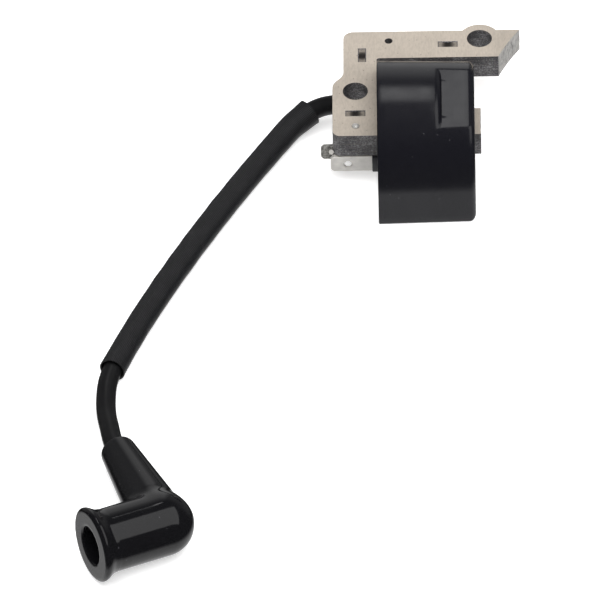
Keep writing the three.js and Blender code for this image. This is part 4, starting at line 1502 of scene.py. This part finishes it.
class MakeCore(bpy.types.Operator):
    """Make the core's stamped sheets"""

    bl_idname = "coil.make_core"
    bl_label = "Make Core"

    def execute(self, context):
        colours, sizes = context.scene.coil_colours, context.scene.coil_sizes
        finishes = [
            made_of(lacquered_silicon_steel, colours), made_of(sheared_sheet_edge, colours),
            made_of(ground_pole_face, colours),
        ]
        chance = random.Random(3)
        outline = sheet_outline()
        holes = [circle(x, y, HOLE_R, 64) for x, y in HOLES]
        holes += [circle(x, y, PIN_HOLE_R, 32) for x, y in PIN_HOLES]
        for index, node in enumerate(SHEETS):
            slip = Vector((chance.uniform(-0.02, 0.02), chance.uniform(-0.02, 0.02)))
            moved = [p + slip for p in outline]
            shifted = [[p + slip for p in hole] for hole in holes]
            mesh = make_sheet(index, moved, shifted, sizes.sheet_chamfer / MM)
            name = f"core_sheet_{index + 1:02d}"
            placed(name, softened(mesh, 25.0), finishes, node)
        return {"FINISHED"}


class MakeHousing(bpy.types.Operator):
    """Make the moulded cup round the coil"""

    bl_idname = "coil.make_housing"
    bl_label = "Make Housing"

    def execute(self, context):
        colours, sizes = context.scene.coil_colours, context.scene.coil_sizes
        mesh = softened(make_cup(sizes.cup_round / MM, sizes.recess_lip / MM), 60.0)
        polyester = made_of(moulded_black_polyester, colours)
        placed("cup_of_coil", mesh, [polyester], "coil_housing")
        return {"FINISHED"}


class MakeTerminals(bpy.types.Operator):
    """Make the stop tab, the earth strap, and what is fixed to them"""

    bl_idname = "coil.make_terminals"
    bl_label = "Make Terminals"

    def execute(self, context):
        colours, sizes = context.scene.coil_colours, context.scene.coil_sizes
        chamfer = sizes.metal_chamfer / MM
        tin, zinc = made_of(tin_plated_steel, colours), made_of(dull_zinc, colours)
        polyester = made_of(moulded_black_polyester, colours)
        rows = (
            (make_tab(2 * chamfer), tin, "tinned_steel", "stop_tab"),
            (make_collar(), polyester, "housing_plastic", "stop_tab_collar"),
            (make_strap(chamfer), tin, "tinned_steel", "earth_strap"),
            (make_rivet(), made_of(burnished_steel, colours), "tinned_steel", "earth_rivet"),
            (make_barrel(), zinc, "zinc_steel", "crimp_barrel"),
        )
        for mesh, finish, slot, node in rows:
            placed(mesh.name, softened(mesh), [finish], node)
        wire = make_wire_end()
        placed(wire.name, wire, [tin], "earth_wire")
        return {"FINISHED"}


class FinishInside(bpy.types.Operator):
    """Give the pieces inside the housing their finishes"""

    bl_idname = "coil.finish_inside"
    bl_label = "Finish Inside"

    def execute(self, context):
        colours = context.scene.coil_colours
        for recipe, nodes in INNER_FINISHES.items():
            material = made_of(recipe, colours)
            for node in nodes:
                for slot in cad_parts[node].material_slots:
                    slot.material = material
        return {"FINISHED"}


class CoilPanel(bpy.types.Panel):
    """Lists the coil's settings and its pieces"""

    bl_idname = "VIEW3D_PT_coil"
    bl_label = "Ignition Coil"
    bl_space_type = "VIEW_3D"
    bl_region_type = "UI"
    bl_category = "Coil"

    def draw(self, context):
        for group in (context.scene.coil_sizes, context.scene.coil_colours):
            box = self.layout.box()
            for key in group.__annotations__:
                box.prop(group, key)
        for operator in OPERATORS:
            self.layout.operator(operator.bl_idname)


GROUPS = {"coil_sizes": CoilSizes, "coil_colours": CoilColours}
OPERATORS = (
    MakeStage, MakeLead, MakeBoot, DeclareLead, MakeCore, MakeHousing, MakeTerminals,
    FinishInside,
)
CLASSES = (*GROUPS.values(), *OPERATORS, CoilPanel)


def register():
    for cls in CLASSES:
        bpy.utils.register_class(cls)
    for name, group in GROUPS.items():
        setattr(bpy.types.Scene, name, bpy.props.PointerProperty(type=group))


def unregister():
    for name in GROUPS:
        delattr(bpy.types.Scene, name)
    for cls in reversed(CLASSES):
        bpy.utils.unregister_class(cls)


def main():
    register()
    for operator in OPERATORS:
        group, name = operator.bl_idname.split(".")
        getattr(getattr(bpy.ops, group), name)()


if __name__ == "__main__":
    main()
